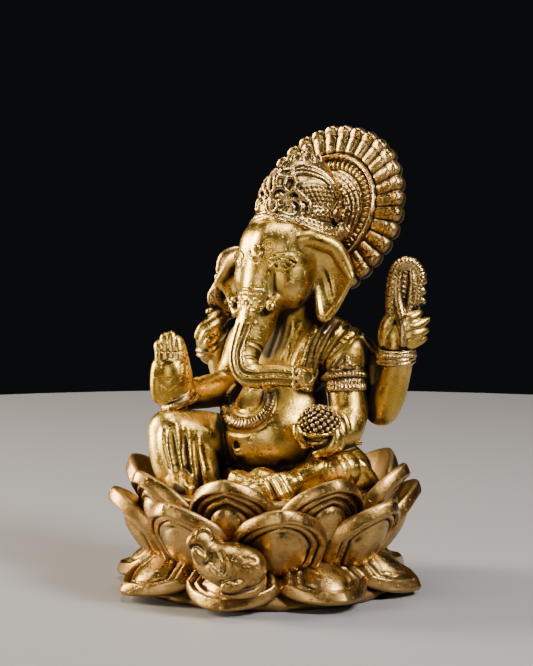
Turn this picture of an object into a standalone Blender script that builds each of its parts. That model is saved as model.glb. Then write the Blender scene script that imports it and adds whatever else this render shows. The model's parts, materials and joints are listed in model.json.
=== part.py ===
"""Small seated Ganesha on a three-tier lotus, cast in brass, as separately named sub-parts.

The figure faces -Y, its own left hand side is +X, and +Z is up.
The origin is the middle of the flat underside of the lotus.
Lengths in the tables are millimetres; MM turns them into metres.
"""
import math

import bmesh
import bpy
from mathutils import Matrix, Vector

MM = 0.001

# ---- driving dimensions (mm) ----
GAP = 0.42              # clearance that a remeshed form keeps to its neighbour
SEAT_Z = 17.4           # top of the lotus core, which the figure sits on
PLATE_R = 20.6          # flat underside of the lotus
WAIST_R = 16.0          # narrowest place between the lower and upper petals
WAIST_Z = 6.4
PETALS = 8              # petals in each tier
PETAL_T = 1.3           # thickness of a petal
HALO_R = 15.25          # halo, to the crests of its scallops
HALO_C = (0.0, 17.0, 61.5)
HALO_LEAN = math.radians(20.0)
HALO_T = 1.6
HALO_RIBS = 32
HALO_RING_R = 9.6
VOXEL = 0.50            # size of the remeshing grid of the modelled forms
NOOSE_C = (20.4, 11.2, 49.4)
NOOSE_RX, NOOSE_RZ, NOOSE_T = 2.5, 5.4, 1.0


def clear_scene():
    for obj in list(bpy.data.objects):
        bpy.data.objects.remove(obj, do_unlink=True)
    for coll in list(bpy.data.collections):
        bpy.data.collections.remove(coll)


clear_scene()
scene = bpy.context.scene
scene.unit_settings.system = "METRIC"
PARTS = bpy.data.collections.new("ganesha_on_lotus")
CUTTERS = bpy.data.collections.new("cutters")
scene.collection.children.link(PARTS)
scene.collection.children.link(CUTTERS)
CUTTERS.hide_render = True


def brass(name, colour, rough):
    mat = bpy.data.materials.new(name)
    mat.use_nodes = True
    shader = mat.node_tree.nodes["Principled BSDF"]
    shader.inputs["Base Color"].default_value = (*colour, 1.0)
    shader.inputs["Metallic"].default_value = 1.0
    shader.inputs["Roughness"].default_value = rough
    mat.diffuse_color = (*colour, 1.0)
    return mat


TONES = {
    "figure": ((0.62, 0.40, 0.13), 0.30),
    "lotus": ((0.50, 0.33, 0.14), 0.34),
    "ornament": ((0.70, 0.50, 0.24), 0.32),
}


def own(obj, tone):
    colour, rough = TONES[tone]
    obj.data.materials.clear()
    obj.data.materials.append(brass(obj.name + "_brass", colour, rough))


def link(name, mesh, coll):
    obj = bpy.data.objects.new(name, mesh)
    coll.objects.link(obj)
    if coll is CUTTERS:
        obj.hide_render = True
        obj.display_type = "WIRE"
    return obj


def from_bmesh(name, bm, coll):
    mesh = bpy.data.meshes.new(name)
    bm.to_mesh(mesh)
    bm.free()
    return link(name, mesh, coll)


# ---- primitives that the modelled forms are joined from ----
def axis_matrix(direction):
    return Vector(direction).to_track_quat("Z", "Y").to_matrix().to_4x4()


def ball(bm, centre, radii, turn=None, seg=14):
    if not hasattr(radii, "__len__"):
        radii = (radii,) * 3
    mat = Matrix.Translation(Vector(centre) * MM)
    if turn is not None:
        mat = mat @ Matrix.Rotation(math.radians(turn[0]), 4, turn[1])
    mat = mat @ Matrix.Diagonal((radii[0] * MM, radii[1] * MM, radii[2] * MM, 1.0))
    bmesh.ops.create_uvsphere(bm, u_segments=seg, v_segments=seg // 2 + 2, radius=1.0, matrix=mat)


def limb(bm, a, b, ra, rb, seg=14):
    a, b = Vector(a) * MM, Vector(b) * MM
    run = b - a
    mat = Matrix.Translation((a + b) / 2) @ axis_matrix(run)
    bmesh.ops.create_cone(bm, cap_ends=True, segments=seg, radius1=ra * MM, radius2=rb * MM,
                          depth=run.length, matrix=mat)
    bmesh.ops.create_uvsphere(bm, u_segments=seg, v_segments=8, radius=ra * MM, matrix=Matrix.Translation(a))
    bmesh.ops.create_uvsphere(bm, u_segments=seg, v_segments=8, radius=rb * MM, matrix=Matrix.Translation(b))


def chain(*stations):
    """Limbs through stations (x, y, z, radius)."""
    return [("limb", s[:3], e[:3], s[3], e[3]) for s, e in zip(stations, stations[1:])]


def assemble(blobs, grow):
    bm = bmesh.new()
    for blob in blobs:
        if blob[0] == "ball":
            radii = blob[2] if hasattr(blob[2], "__len__") else (blob[2],) * 3
            ball(bm, blob[1], [r + grow for r in radii], blob[3] if len(blob) > 3 else None)
        else:
            limb(bm, blob[1], blob[2], blob[3] + grow, blob[4] + grow)
    return bm


def remesh(obj, voxel, smooth, ratio):
    mod = obj.modifiers.new("remesh", "REMESH")
    mod.mode = "VOXEL"
    mod.voxel_size = voxel * MM
    if smooth:
        mod = obj.modifiers.new("smooth", "SMOOTH")
        mod.factor = 0.5
        mod.iterations = smooth
    mod = obj.modifiers.new("decimate", "DECIMATE")
    mod.ratio = ratio


def largest_island(bm):
    """Drops everything but the biggest connected piece."""
    seen, best = set(), []
    for start in bm.verts:
        if start in seen:
            continue
        seen.add(start)
        stack, found = [start], [start]
        while stack:
            vert = stack.pop()
            for edge in vert.link_edges:
                other = edge.other_vert(vert)
                if other not in seen:
                    seen.add(other)
                    stack.append(other)
                    found.append(other)
        if len(found) > len(best):
            best = found
    keep = set(best)
    bmesh.ops.delete(bm, geom=[v for v in bm.verts if v not in keep], context="VERTS")


def settle(obj, target=None):
    """Applies an object's modifiers, keeps its one body, and lightens it to a number of triangles."""
    graph = bpy.context.evaluated_depsgraph_get()
    mesh = bpy.data.meshes.new_from_object(obj.evaluated_get(graph))
    obj.modifiers.clear()
    bm = bmesh.new()
    bm.from_mesh(mesh)
    bmesh.ops.remove_doubles(bm, verts=bm.verts, dist=0.00002)
    bmesh.ops.dissolve_degenerate(bm, edges=bm.edges, dist=0.00002)
    bmesh.ops.triangulate(bm, faces=bm.faces)
    largest_island(bm)
    bmesh.ops.recalc_face_normals(bm, faces=bm.faces)
    bm.to_mesh(mesh)
    bm.free()
    old = obj.data
    obj.data = mesh
    bpy.data.meshes.remove(old)
    if target and len(mesh.polygons) > target:
        lighten(obj, target)
    return obj


def closed(mesh):
    """True when every edge joins exactly two faces."""
    bm = bmesh.new()
    bm.from_mesh(mesh)
    bmesh.ops.remove_doubles(bm, verts=bm.verts, dist=0.00001)
    fine = len(bm.faces) > 0 and all(len(edge.link_faces) == 2 for edge in bm.edges)
    bm.free()
    return fine


def lighten(obj, target):
    """Collapses edges down to about the target, trying near values until the skin stays closed."""
    full = obj.data
    for step in range(14):
        obj.data = full.copy()
        mod = obj.modifiers.new("lighten", "DECIMATE")
        mod.ratio = (target + 9 * step) / len(full.polygons)
        settle(obj)
        if closed(obj.data):
            break


def grown_form(name, blobs, voxel=VOXEL):
    """The same form, larger all round by the gap, used to cut its neighbours."""
    obj = from_bmesh("cut_" + name, assemble(blobs, GAP), CUTTERS)
    remesh(obj, voxel, 0, 0.3)
    return settle(obj)


def cut(obj, *cutters):
    for cutter in cutters:
        mod = obj.modifiers.new("clear_" + cutter.name, "BOOLEAN")
        mod.operation = "DIFFERENCE"
        mod.solver = "EXACT"
        mod.object = cutter


def smooth_shaded(obj, angle=50):
    obj.data.shade_smooth()
    obj.data.set_sharp_from_angle(angle=math.radians(angle))


FORMS = {}
GROWN = {}


def form(name, blobs, tone="figure", clear=(), triangles=300, voxel=VOXEL, extra=()):
    """A modelled form: joined primitives, remeshed to one skin, kept clear of the named neighbours."""
    obj = from_bmesh(name, assemble(blobs, 0.0), PARTS)
    remesh(obj, voxel, 2, 0.5)
    settle(obj, int(triangles * 1.2))
    cut(obj, *[grown(n) for n in clear], *extra)
    settle(obj, triangles)
    FORMS[name] = blobs
    own(obj, tone)
    smooth_shaded(obj)
    return obj


def grown(name):
    if name not in GROWN:
        GROWN[name] = grown_form(name, FORMS[name])
    return GROWN[name]


def turned(name, profile, coll, steps=32):
    """A profile (radius, height), top to bottom down its outer side, turned about Z."""
    curve_mesh = bpy.data.meshes.new(name)
    bm = bmesh.new()
    verts = [bm.verts.new((r * MM, 0.0, z * MM)) for r, z in profile]
    for a, b in zip(verts, verts[1:]):
        bm.edges.new((a, b))
    bm.to_mesh(curve_mesh)
    bm.free()
    obj = link(name, curve_mesh, coll)
    mod = obj.modifiers.new("turn", "SCREW")
    mod.axis = "Z"
    mod.steps = mod.render_steps = steps
    mod.use_merge_vertices = True
    mod.merge_threshold = 0.00001
    mod.use_normal_calculate = True
    return obj


# ---- lotus ----
def core_profile(grow=0.0):
    g = grow
    return [(0.0, SEAT_Z + g), (17.8 + g, SEAT_Z + g), (17.9 + g, 15.5), (16.9 + g, 11.5), (WAIST_R + g, WAIST_Z + 1.2),
            (WAIST_R + g, WAIST_Z - 0.9), (17.2 + g, 3.4), (PLATE_R - 0.7 + g, 1.2 + g), (PLATE_R + g, 0.9 + g),
            (PLATE_R + g, 0.0 - g), (0.0, 0.0 - g)]


core = turned("lotus_core", core_profile(), PARTS, 32)
settle(core)
own(core, "lotus")
smooth_shaded(core, 35)
core_cut = turned("cut_lotus_core", core_profile(GAP), CUTTERS, 32)
settle(core_cut)


def petal_section(t, tier):
    """Centre line of a petal from its root, t=0, to its tip, t=1: radius, height and half width."""
    swell = math.sin(math.pi * min(1.0, 0.16 + 0.66 * t) ) ** 0.8
    if tier == "lower":
        r = 17.5 + 8.3 * t
        z = 0.45 + 5.0 * (1.0 - min(1.0, t / 0.80)) ** 1.35 + 1.5 * max(0.0, (t - 0.74) / 0.26) ** 1.5
        half = 8.2 * swell
    elif tier == "outer":
        r = 17.9 + 8.3 * t ** 1.15
        z = 7.7 + 7.4 * t ** 0.92
        half = 8.6 * swell
    else:
        r = 17.8 + 6.1 * t ** 1.5
        z = 9.9 + 9.2 * t ** 0.95
        half = 8.2 * swell
    half = min(half, 0.3927 * r - 0.6)
    point = max(0.0, (t - 0.72) / 0.28)
    half *= 1.0 - 0.86 * point ** 1.6
    return r, z, half


def petal_mesh(name, tier, rows=5, cols=4):
    """An arched sheet with an ogee tip, given its thickness by Solidify."""
    bm = bmesh.new()
    grid = []
    for i in range(rows + 1):
        t = i / rows
        r, z, half = petal_section(t, tier)
        line = []
        for j in range(cols + 1):
            s = 2.0 * j / cols - 1.0
            arch = 0.96 * s * s * (0.4 + 0.6 * t)
            rr = r - arch
            ang = s * half / r
            line.append(bm.verts.new((rr * math.sin(ang) * MM, -rr * math.cos(ang) * MM, (z - (0.0 if tier == "lower" else 0.9 * s * s * t)) * MM)))
        grid.append(line)
    for lo, hi in zip(grid, grid[1:]):
        for j in range(cols):
            bm.faces.new((lo[j], lo[j + 1], hi[j + 1], hi[j]))
    bmesh.ops.recalc_face_normals(bm, faces=bm.faces)
    middle = bm.faces[:][len(bm.faces) // 2]
    out = Vector((0.0, -1.0, 0.4 if tier == "lower" else -0.4))
    if middle.normal.dot(out) < 0:
        bmesh.ops.reverse_faces(bm, faces=bm.faces)
    mesh = bpy.data.meshes.new(name)
    bm.to_mesh(mesh)
    bm.free()
    return mesh


def petal_object(name, tier, angle, coll, grow=0.0):
    obj = link(name, petal_mesh(name, tier), coll)
    mod = obj.modifiers.new("thickness", "SOLIDIFY")
    mod.thickness = PETAL_T * MM
    mod.offset = 1.0
    if grow:
        mod = obj.modifiers.new("grow", "DISPLACE")
        mod.mid_level = 0.0
        mod.strength = grow * MM
    # cast by hand, so no petal stands at quite its even place
    obj.rotation_euler = (0.0, 0.0, math.radians(angle + 0.35 * math.sin(2.4 * angle + 0.7)))
    return obj


TIERS = (("lower", 22.5), ("outer", 0.0), ("inner", 22.5))
for tier, phase in TIERS:
    first = None
    for k in range(PETALS):
        label = f"lotus_{tier}_petal_{k + 1}"
        petal = petal_object(label, tier, phase + 45.0 * k, PARTS)
        own(petal, "lotus")

# ---- hips, torso, legs ----
floor_cut = bmesh.new()
bmesh.ops.create_cube(floor_cut, size=0.06, matrix=Matrix.Translation((0, 0, (SEAT_Z + 0.35) * MM - 0.03)))
seat_cut = from_bmesh("cut_seat", floor_cut, CUTTERS)

form("hips", [("ball", (0.0, 4.0, 20.5), (11.5, 9.0, 4.6))], extra=(seat_cut,), triangles=220)
form("torso", [
    ("ball", (0.3, 2.2, 25.4), (9.3, 8.9, 8.6)),
    ("ball", (0.0, 5.4, 34.5), (8.2, 6.2, 7.0)),
    *chain((-7.6, 7.6, 39.2, 3.9), (0.0, 7.0, 40.5, 5.0), (7.6, 7.6, 39.2, 3.9)),
    *chain((0.0, 6.6, 41.0, 5.2), (0.0, 6.0, 46.5, 4.8)),
], clear=("hips",), extra=(seat_cut,), triangles=560)
form("left_leg", [
    *chain((6.0, 3.5, 21.0, 4.4), (16.2, 2.6, 20.6, 4.0)),
    *chain((16.2, 2.6, 20.6, 3.7), (14.0, -5.0, 20.2, 3.3), (6.5, -10.8, 19.6, 2.7)),
], clear=("torso", "hips"), extra=(seat_cut,), triangles=320)
form("right_leg", [
    *chain((-6.2, 2.2, 22.3, 4.3), (-13.2, -11.8, 27.0, 3.7)),
    *chain((-13.2, -11.8, 27.0, 3.6), (-8.2, -12.6, 19.6, 3.2)),
], clear=("torso", "hips"), extra=(seat_cut,), triangles=300)
form("left_foot", [*chain((4.0, -12.0, 19.4, 2.2), (-1.0, -13.6, 19.2, 1.9))],
     clear=("left_leg", "torso", "hips", "right_leg"), extra=(seat_cut,), triangles=110)
form("right_foot", [*chain((-7.0, -14.0, 18.8, 2.0), (-3.6, -17.0, 18.6, 1.6))],
     clear=("right_leg", "left_foot"), extra=(seat_cut,), triangles=110)
form("dhoti_pleats", [*chain((1.6, -7.2, 20.6, 2.4), (4.6, -10.6, 18.8, 2.2))],
     clear=("left_leg", "left_foot", "torso", "hips", "right_leg"), extra=(seat_cut,), triangles=110)

# ---- head ----
form("head", [
    ("ball", (0.0, 4.6, 53.6), (7.0, 7.4, 7.6)),
    ("ball", (0.0, -0.8, 52.4), (4.6, 4.4, 6.0)),
    ("ball", (4.2, 1.2, 50.8), (3.2, 4.4, 4.6)),
    ("ball", (-4.2, 1.2, 50.8), (3.2, 4.4, 4.6)),
], clear=("torso",), triangles=520)
form("trunk", chain((0.0, -4.6, 49.0, 3.5), (0.0, -7.6, 45.6, 3.1), (0.3, -9.6, 41.0, 2.7), (2.6, -10.6, 37.2, 2.4),
                    (6.2, -9.4, 35.0, 2.15), (9.8, -7.8, 34.9, 1.95), (12.6, -7.2, 36.4, 1.75)),
     clear=("head", "torso"), triangles=360)
EAR = [(-0.6, 58.4), (1.2, 58.8), (3.0, 57.4), (5.4, 54.9), (7.5, 51.7), (6.3, 49.6), (4.4, 46.9), (2.9, 44.3),
       (2.0, 44.3), (0.9, 47.2), (0.2, 50.2), (-0.6, 53.0)]
EAR_ROOT = (7.5, 2.6)
EAR_TURN = math.radians(39.0)
EAR_T = 1.5


def plate(name, outline, thick, coll, frame):
    """A flat outline as a filled 2D curve, extruded by half its thickness each way."""
    curve = bpy.data.curves.new(name, "CURVE")
    curve.dimensions = "2D"
    curve.fill_mode = "BOTH"
    curve.extrude = thick * MM / 2
    spline = curve.splines.new("POLY")
    spline.points.add(len(outline) - 1)
    for point, (x, y) in zip(spline.points, outline):
        point.co = (x * MM, y * MM, 0.0, 1.0)
    spline.use_cyclic_u = True
    obj = bpy.data.objects.new(name, curve)
    coll.objects.link(obj)
    obj.matrix_world = frame
    bpy.context.view_layer.update()
    graph = bpy.context.evaluated_depsgraph_get()
    mesh = bpy.data.meshes.new_from_object(obj.evaluated_get(graph))
    bm = bmesh.new()
    bm.from_mesh(mesh)
    bmesh.ops.remove_doubles(bm, verts=bm.verts, dist=0.00001)
    bm.to_mesh(mesh)
    bm.free()
    world = obj.matrix_world.copy()
    bpy.data.objects.remove(obj)
    bpy.data.curves.remove(curve)
    made = link(name, mesh, coll)
    made.matrix_world = world
    bpy.context.view_layer.update()
    return made


def ear(name, side, thick, coll):
    """A hanging ear flap, standing out and back from the side of the head."""
    frame = (Matrix.Translation((side * EAR_ROOT[0] * MM, EAR_ROOT[1] * MM, 0.0))
             @ Matrix.Rotation(side * EAR_TURN, 4, "Z") @ Matrix.Rotation(math.pi / 2, 4, "X"))
    line = [(side * x, z) for x, z in EAR]
    return plate(name, line if side > 0 else line[::-1], thick, coll, frame)


for side, name in ((1, "left"), (-1, "right")):
    flap = ear("ear_" + name, side, EAR_T, PARTS)
    cut(flap, grown("head"), grown("torso"))
    settle(flap)
    own(flap, "figure")
    smooth_shaded(flap, 35)
    GROWN["ear_" + name] = settle(ear("cut_ear_" + name, side, EAR_T + 2 * GAP, CUTTERS))
    form("tusk_" + name, [*chain((side * 3.6, -4.6, 49.6, 1.3), (side * 4.6, -7.8, 48.2, 0.8))],
         clear=("head", "trunk"), triangles=80)
form("crown", [
    *chain((0.0, 5.6, 59.6, 7.3), (0.0, 7.0, 62.6, 6.8), (0.0, 8.4, 66.0, 4.6)),
    ("ball", (0.0, 9.2, 69.6), (1.8, 1.8, 1.6)),
    ("ball", (0.0, -0.6, 63.8), (3.6, 1.6, 4.4)),
], tone="ornament", clear=("head", "ear_left", "ear_right"), triangles=420)

# ---- halo ----
halo_frame = Matrix.Translation(Vector(HALO_C) * MM) @ Matrix.Rotation(-HALO_LEAN, 4, "X") @ Matrix.Rotation(math.pi / 2, 4, "X")


def disc_outline(radius, ribs, depth):
    pts = []
    for i in range(ribs * 3):
        a = 2 * math.pi * i / (ribs * 3)
        pts.append((radius - depth * (0.5 - 0.5 * math.cos(ribs * a)), a))
    return [((r * math.cos(a)), (r * math.sin(a))) for r, a in pts]


halo = plate("halo_disc", disc_outline(HALO_R, HALO_RIBS, 0.75), HALO_T, PARTS, halo_frame)
cut(halo, grown("crown"), grown("head"), grown("torso"), grown("ear_left"), grown("ear_right"))
bpy.context.view_layer.update()
settle(halo)
own(halo, "ornament")
smooth_shaded(halo, 35)

bpy.ops.mesh.primitive_torus_add(major_radius=HALO_RING_R * MM, minor_radius=0.5 * MM, major_segments=40, minor_segments=8)
ring = bpy.context.active_object
ring.name = "halo_ring"
for coll in list(ring.users_collection):
    coll.objects.unlink(ring)
PARTS.objects.link(ring)
ring.matrix_world = halo_frame @ Matrix.Translation((0, 0, (HALO_T / 2 + 0.5 + 0.25) * MM))
bpy.context.view_layer.update()
cut(ring, grown("crown"), grown("head"), grown("ear_left"), grown("ear_right"))
settle(ring)
own(ring, "ornament")
smooth_shaded(ring)

# ---- arms ----
form("front_left_arm", chain((10.6, 8.0, 38.6, 3.6), (13.4, 6.8, 33.0, 3.2), (14.6, 5.4, 28.6, 3.1), (14.6, 1.4, 26.6, 2.6)),
     clear=("torso", "left_leg", "ear_left"), triangles=300)
form("front_right_arm", chain((-10.6, 8.0, 38.6, 3.6), (-12.8, 6.6, 33.4, 3.2), (-13.2, 3.6, 30.6, 3.0), (-13.6, -5.2, 29.8, 2.2)),
     clear=("torso", "right_leg", "ear_right"), triangles=300)
form("rear_left_arm", chain((10.0, 12.2, 37.0, 3.0), (14.0, 13.4, 29.6, 3.0), (17.2, 12.0, 31.2, 2.7), (20.0, 10.4, 36.8, 2.2)),
     clear=("torso", "front_left_arm"), triangles=280)
form("rear_right_arm", chain((-10.0, 12.2, 37.0, 3.0), (-14.0, 13.4, 29.6, 3.0), (-17.2, 12.0, 31.2, 2.7), (-20.0, 10.4, 35.2, 2.2)),
     clear=("torso", "front_right_arm"), triangles=280)
form("front_right_hand", [
    *chain((-13.7, -7.4, 31.6, 2.1), (-14.0, -7.8, 35.2, 2.5)),
    ("ball", (-14.0, -7.9, 35.4), (2.7, 1.6, 3.6)),
    *chain((-14.1, -8.2, 37.8, 1.9), (-14.2, -8.4, 41.0, 1.1)),
], clear=("front_right_arm", "right_leg"), triangles=200)
form("front_left_hand", [("ball", (14.2, -1.9, 25.2), (3.6, 3.2, 2.4)), *chain((14.4, -1.4, 24.6, 2.2), (12.2, -4.6, 23.8, 1.4))],
     clear=("front_left_arm", "left_leg", "torso"), triangles=160)
form("rear_left_hand", [*chain((20.2, 10.6, 39.8, 2.2), (20.4, 10.8, 43.6, 2.9)), ("ball", (20.4, 10.6, 45.6), (3.0, 2.2, 2.4))],
     clear=("rear_left_arm",), triangles=180)
form("rear_right_hand", [*chain((-20.2, 10.6, 38.2, 2.1), (-20.2, 10.8, 42.0, 2.9)), ("ball", (-19.6, 10.8, 44.0), (3.0, 2.4, 2.4))],
     clear=("rear_right_arm",), triangles=180)


def band(name, centre, direction, ring_r, wire_r, tone, clear=(), stretch=1.0):
    """A round bangle: a torus about a limb."""
    bpy.ops.mesh.primitive_torus_add(major_radius=ring_r * MM, minor_radius=wire_r * MM, major_segments=20, minor_segments=6)
    obj = bpy.context.active_object
    obj.name = name
    for coll in list(obj.users_collection):
        coll.objects.unlink(obj)
    PARTS.objects.link(obj)
    obj.matrix_world = Matrix.Translation(Vector(centre) * MM) @ axis_matrix(direction) @ Matrix.Diagonal((1, 1, stretch, 1))
    bpy.context.view_layer.update()
    if clear:
        cut(obj, *[grown(n) for n in clear])
    settle(obj)
    own(obj, tone)
    smooth_shaded(obj)
    return obj


band("rear_left_bangle", (20.1, 10.5, 38.3), (0.15, -0.05, 1), 3.45, 0.65, "ornament", ("rear_left_arm", "rear_left_hand"))
band("front_right_bangle", (-13.6, -6.3, 30.4), (-0.05, -0.75, 0.6), 3.2, 0.6, "ornament", ("front_right_arm", "front_right_hand", "right_leg"))

# ---- things held ----
noose = plate("noose", [((NOOSE_RX + NOOSE_T) * math.cos(a), (NOOSE_RZ + NOOSE_T) * math.sin(a)) for a in [2 * math.pi * i / 28 for i in range(28)]],
              1.9, PARTS, Matrix.Translation(Vector(NOOSE_C) * MM) @ Matrix.Rotation(math.radians(18), 4, "Z") @ Matrix.Rotation(math.pi / 2, 4, "X"))
cut(noose, grown("rear_left_hand"))
settle(noose)
own(noose, "ornament")
smooth_shaded(noose, 40)
form("axe", [
    *chain((-18.6, 11.6, 46.4, 1.6), (-17.8, 12.4, 50.0, 2.2)),
    ("ball", (-17.6, 12.4, 50.6), (2.6, 2.4, 3.7)),
], tone="ornament", clear=("rear_right_hand",), triangles=160)
sweet_balls = [("ball", (13.6, -2.2, 29.4), 2.4)]
for i in range(14):
    z = 1 - 2 * (i + 0.5) / 18
    a = i * 2.39996
    r = math.sqrt(1 - z * z)
    sweet_balls.append(("ball", (13.6 + 2.7 * r * math.cos(a), -2.2 + 2.7 * r * math.sin(a), 29.4 + 2.7 * z), 1.15))
form("sweets", sweet_balls, tone="ornament", clear=("front_left_hand", "front_left_arm", "torso"), triangles=340, voxel=0.42)

# ---- drapery and necklace ----
SHAWL_T = 1.5


def swollen(blobs, grow):
    """The same blobs with every radius larger."""
    out = []
    for blob in blobs:
        if blob[0] == "ball":
            radii = blob[2] if hasattr(blob[2], "__len__") else (blob[2],) * 3
            out.append(("ball", blob[1], tuple(r + grow for r in radii)))
        else:
            out.append(("limb", blob[1], blob[2], blob[3] + grow, blob[4] + grow))
    return out




def band_box(name, grow):
    """The slab over the left shoulder inside which the shawl lies."""
    bm = bmesh.new()
    bmesh.ops.create_cube(bm, size=1.0, matrix=(
        Matrix.Translation(Vector((6.4, 4.0, 36.8)) * MM) @ Matrix.Rotation(math.radians(8), 4, "Y")
        @ Matrix.Diagonal(((9.0 + grow) * MM, 40.0 * MM, (17.4 + grow) * MM, 1.0))))
    return from_bmesh(name, bm, CUTTERS)


shawl_band = band_box("cut_shawl_band", 0.0)
shawl_room = band_box("cut_shawl_room", 1.0)
shawl = from_bmesh("shawl", assemble(swollen(FORMS["torso"], GAP + SHAWL_T), 0.0), PARTS)
remesh(shawl, VOXEL, 2, 0.5)
settle(shawl, 900)
mod = shawl.modifiers.new("band", "BOOLEAN")
mod.operation = "INTERSECT"
mod.object = shawl_band
cut(shawl, *[grown(n) for n in ("torso", "front_left_arm", "rear_left_arm", "head", "ear_left", "trunk", "front_left_hand")])
settle(shawl, 420)
FORMS["shawl"] = swollen(FORMS["torso"], GAP + SHAWL_T)
own(shawl, "figure")
smooth_shaded(shawl)
band("front_left_armlet", (13.3, 6.9, 33.2), (0.4, -0.2, -1), 4.1, 0.75, "ornament", ("front_left_arm", "torso", "rear_left_arm", "shawl"), 1.6)
neck_pts = []
for i in range(9):
    a = math.radians(-78 + 156 * i / 8)
    x, z = 5.6 * math.sin(a), 32.6 - 4.4 * math.cos(a)
    y = 2.6 - 8.4 * math.sqrt(max(0.05, 1 - (x / 9.6) ** 2 - ((z - 27.5) / 15.5) ** 2))
    neck_pts.append((x, y - 0.6, z, 1.0))
form("necklace", chain(*neck_pts), tone="ornament", clear=("torso", "trunk"), extra=(shawl_room,), triangles=160, voxel=0.4)

# ---- mouse ----
PETAL_CUTS = [petal_object(f"cut_{tier}_{k}", tier, phase + 45.0 * k, CUTTERS, 0.6)
              for tier, phase, k in (("lower", 22.5, 0), ("outer", 0.0, 0), ("outer", 0.0, 1), ("inner", 22.5, 0))]
bpy.context.view_layer.update()
for tool in PETAL_CUTS:
    settle(tool)
form("mouse", [
    *chain((11.8, -20.8, 6.2, 3.3), (8.2, -22.6, 7.2, 3.0), (5.0, -23.8, 9.7, 2.1), (2.4, -24.5, 10.0, 1.1)),
], extra=(*PETAL_CUTS, core_cut), triangles=260)

bpy.context.view_layer.update()
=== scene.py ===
"""Small brass Ganesha on a lotus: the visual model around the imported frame.

Lengths in this file are millimetres unless a name says otherwise; MM turns them into metres.
The figure faces -Y, its own left hand side is +X, +Z is up, and the lotus stands on z = 0.

The cast forms are sculpted as distance fields: each piece is a set of soft blobs, tubes and
carved lines on a fine grid, the pieces are blended into one skin, and each piece is then cut
out of that skin as its own closed mesh. The petals and the halo are built as displaced sheets.
"""
import json
import math

import bpy
import numpy as np
import openvdb as vdb
from mathutils import Matrix, Vector

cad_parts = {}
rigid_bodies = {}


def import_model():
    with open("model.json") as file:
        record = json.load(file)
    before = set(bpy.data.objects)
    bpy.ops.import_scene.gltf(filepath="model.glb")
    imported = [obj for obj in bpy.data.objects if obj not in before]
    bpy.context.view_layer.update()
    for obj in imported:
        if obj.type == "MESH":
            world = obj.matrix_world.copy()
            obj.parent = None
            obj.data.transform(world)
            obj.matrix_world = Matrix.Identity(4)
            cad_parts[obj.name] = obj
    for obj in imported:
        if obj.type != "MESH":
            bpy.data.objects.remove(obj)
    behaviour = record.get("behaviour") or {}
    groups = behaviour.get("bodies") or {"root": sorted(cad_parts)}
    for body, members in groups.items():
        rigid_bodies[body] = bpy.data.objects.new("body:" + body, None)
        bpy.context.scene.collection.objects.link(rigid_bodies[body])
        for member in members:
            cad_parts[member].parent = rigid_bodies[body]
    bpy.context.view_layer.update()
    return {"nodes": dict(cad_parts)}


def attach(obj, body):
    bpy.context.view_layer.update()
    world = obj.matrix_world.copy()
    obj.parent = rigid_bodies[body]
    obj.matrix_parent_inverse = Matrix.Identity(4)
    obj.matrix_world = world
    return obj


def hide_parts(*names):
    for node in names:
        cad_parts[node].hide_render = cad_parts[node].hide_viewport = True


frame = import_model()
MM = 0.001
BIG = 9.0
F32 = np.float32
rng = np.random.default_rng(11)

# ------------------------------------------------------------------ camera
AIM = np.array([0.0, 0.0, 38.0])
AZIMUTH = math.radians(39.0)
ELEVATION = math.radians(7.0)
DISTANCE = 450.0
BACK = np.array([math.sin(AZIMUTH) * math.cos(ELEVATION), -math.cos(AZIMUTH) * math.cos(ELEVATION), math.sin(ELEVATION)])
RIGHT = np.array([math.cos(AZIMUTH), math.sin(AZIMUTH), 0.0])
UP = np.cross(BACK, RIGHT)
EYE = AIM + BACK * DISTANCE
FOCAL = 4.0946          # focal length over the height of the frame


def ray(u, v):
    """Start and direction of the line of sight through a point u right and v up of the aim, in mm at the aim's depth."""
    d = -BACK * DISTANCE + RIGHT * u + UP * v
    return EYE, d / np.linalg.norm(d)


STEP = 0.165016          # mm at the aim's depth


def S(col, row):
    """A place of the front left drawing, counted in steps to the right and down, as mm right and up of the aim."""
    return ((col - 267.0) * STEP, (359.0 - row) * STEP)


# ------------------------------------------------------------------ distance fields
def vec(*p):
    return np.array(p, dtype=float)


def smin(a, b, k):
    """Smallest of two distances, with the crease between them filled over a width k."""
    if k <= 0:
        return np.minimum(a, b)
    h = np.maximum(k - np.abs(a - b), 0.0) / k
    return np.minimum(a, b) - (h * h * h * (k / 6.0)).astype(a.dtype)


def smax(a, b, k):
    return -smin(-a, -b, k)


class Shape:
    """A distance function with the box that holds its surface."""

    def __init__(self, lo, hi, fn):
        self.lo, self.hi, self.fn = np.array(lo, float), np.array(hi, float), fn


def ball(c, r, turn=None):
    """Ellipsoid. turn: 3x3 matrix whose columns are its axes."""
    c = np.array(c, float)
    r = np.array(r if hasattr(r, "__len__") else (r, r, r), float)
    reach = np.abs(np.eye(3) if turn is None else turn) @ r if turn is not None else r

    def fn(x, y, z):
        dx, dy, dz = x - F32(c[0]), y - F32(c[1]), z - F32(c[2])
        if turn is not None:
            t = turn.astype(F32)
            dx, dy, dz = (dx * t[0, 0] + dy * t[1, 0] + dz * t[2, 0], dx * t[0, 1] + dy * t[1, 1] + dz * t[2, 1],
                          dx * t[0, 2] + dy * t[1, 2] + dz * t[2, 2])
        a, b, cc = dx * F32(1 / r[0]), dy * F32(1 / r[1]), dz * F32(1 / r[2])
        k0 = np.sqrt(a * a + b * b + cc * cc)
        a, b, cc = a * F32(1 / r[0]), b * F32(1 / r[1]), cc * F32(1 / r[2])
        k1 = np.sqrt(a * a + b * b + cc * cc) + F32(1e-6)
        return k0 * (k0 - 1) / k1

    return Shape(c - reach, c + reach, fn)


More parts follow.
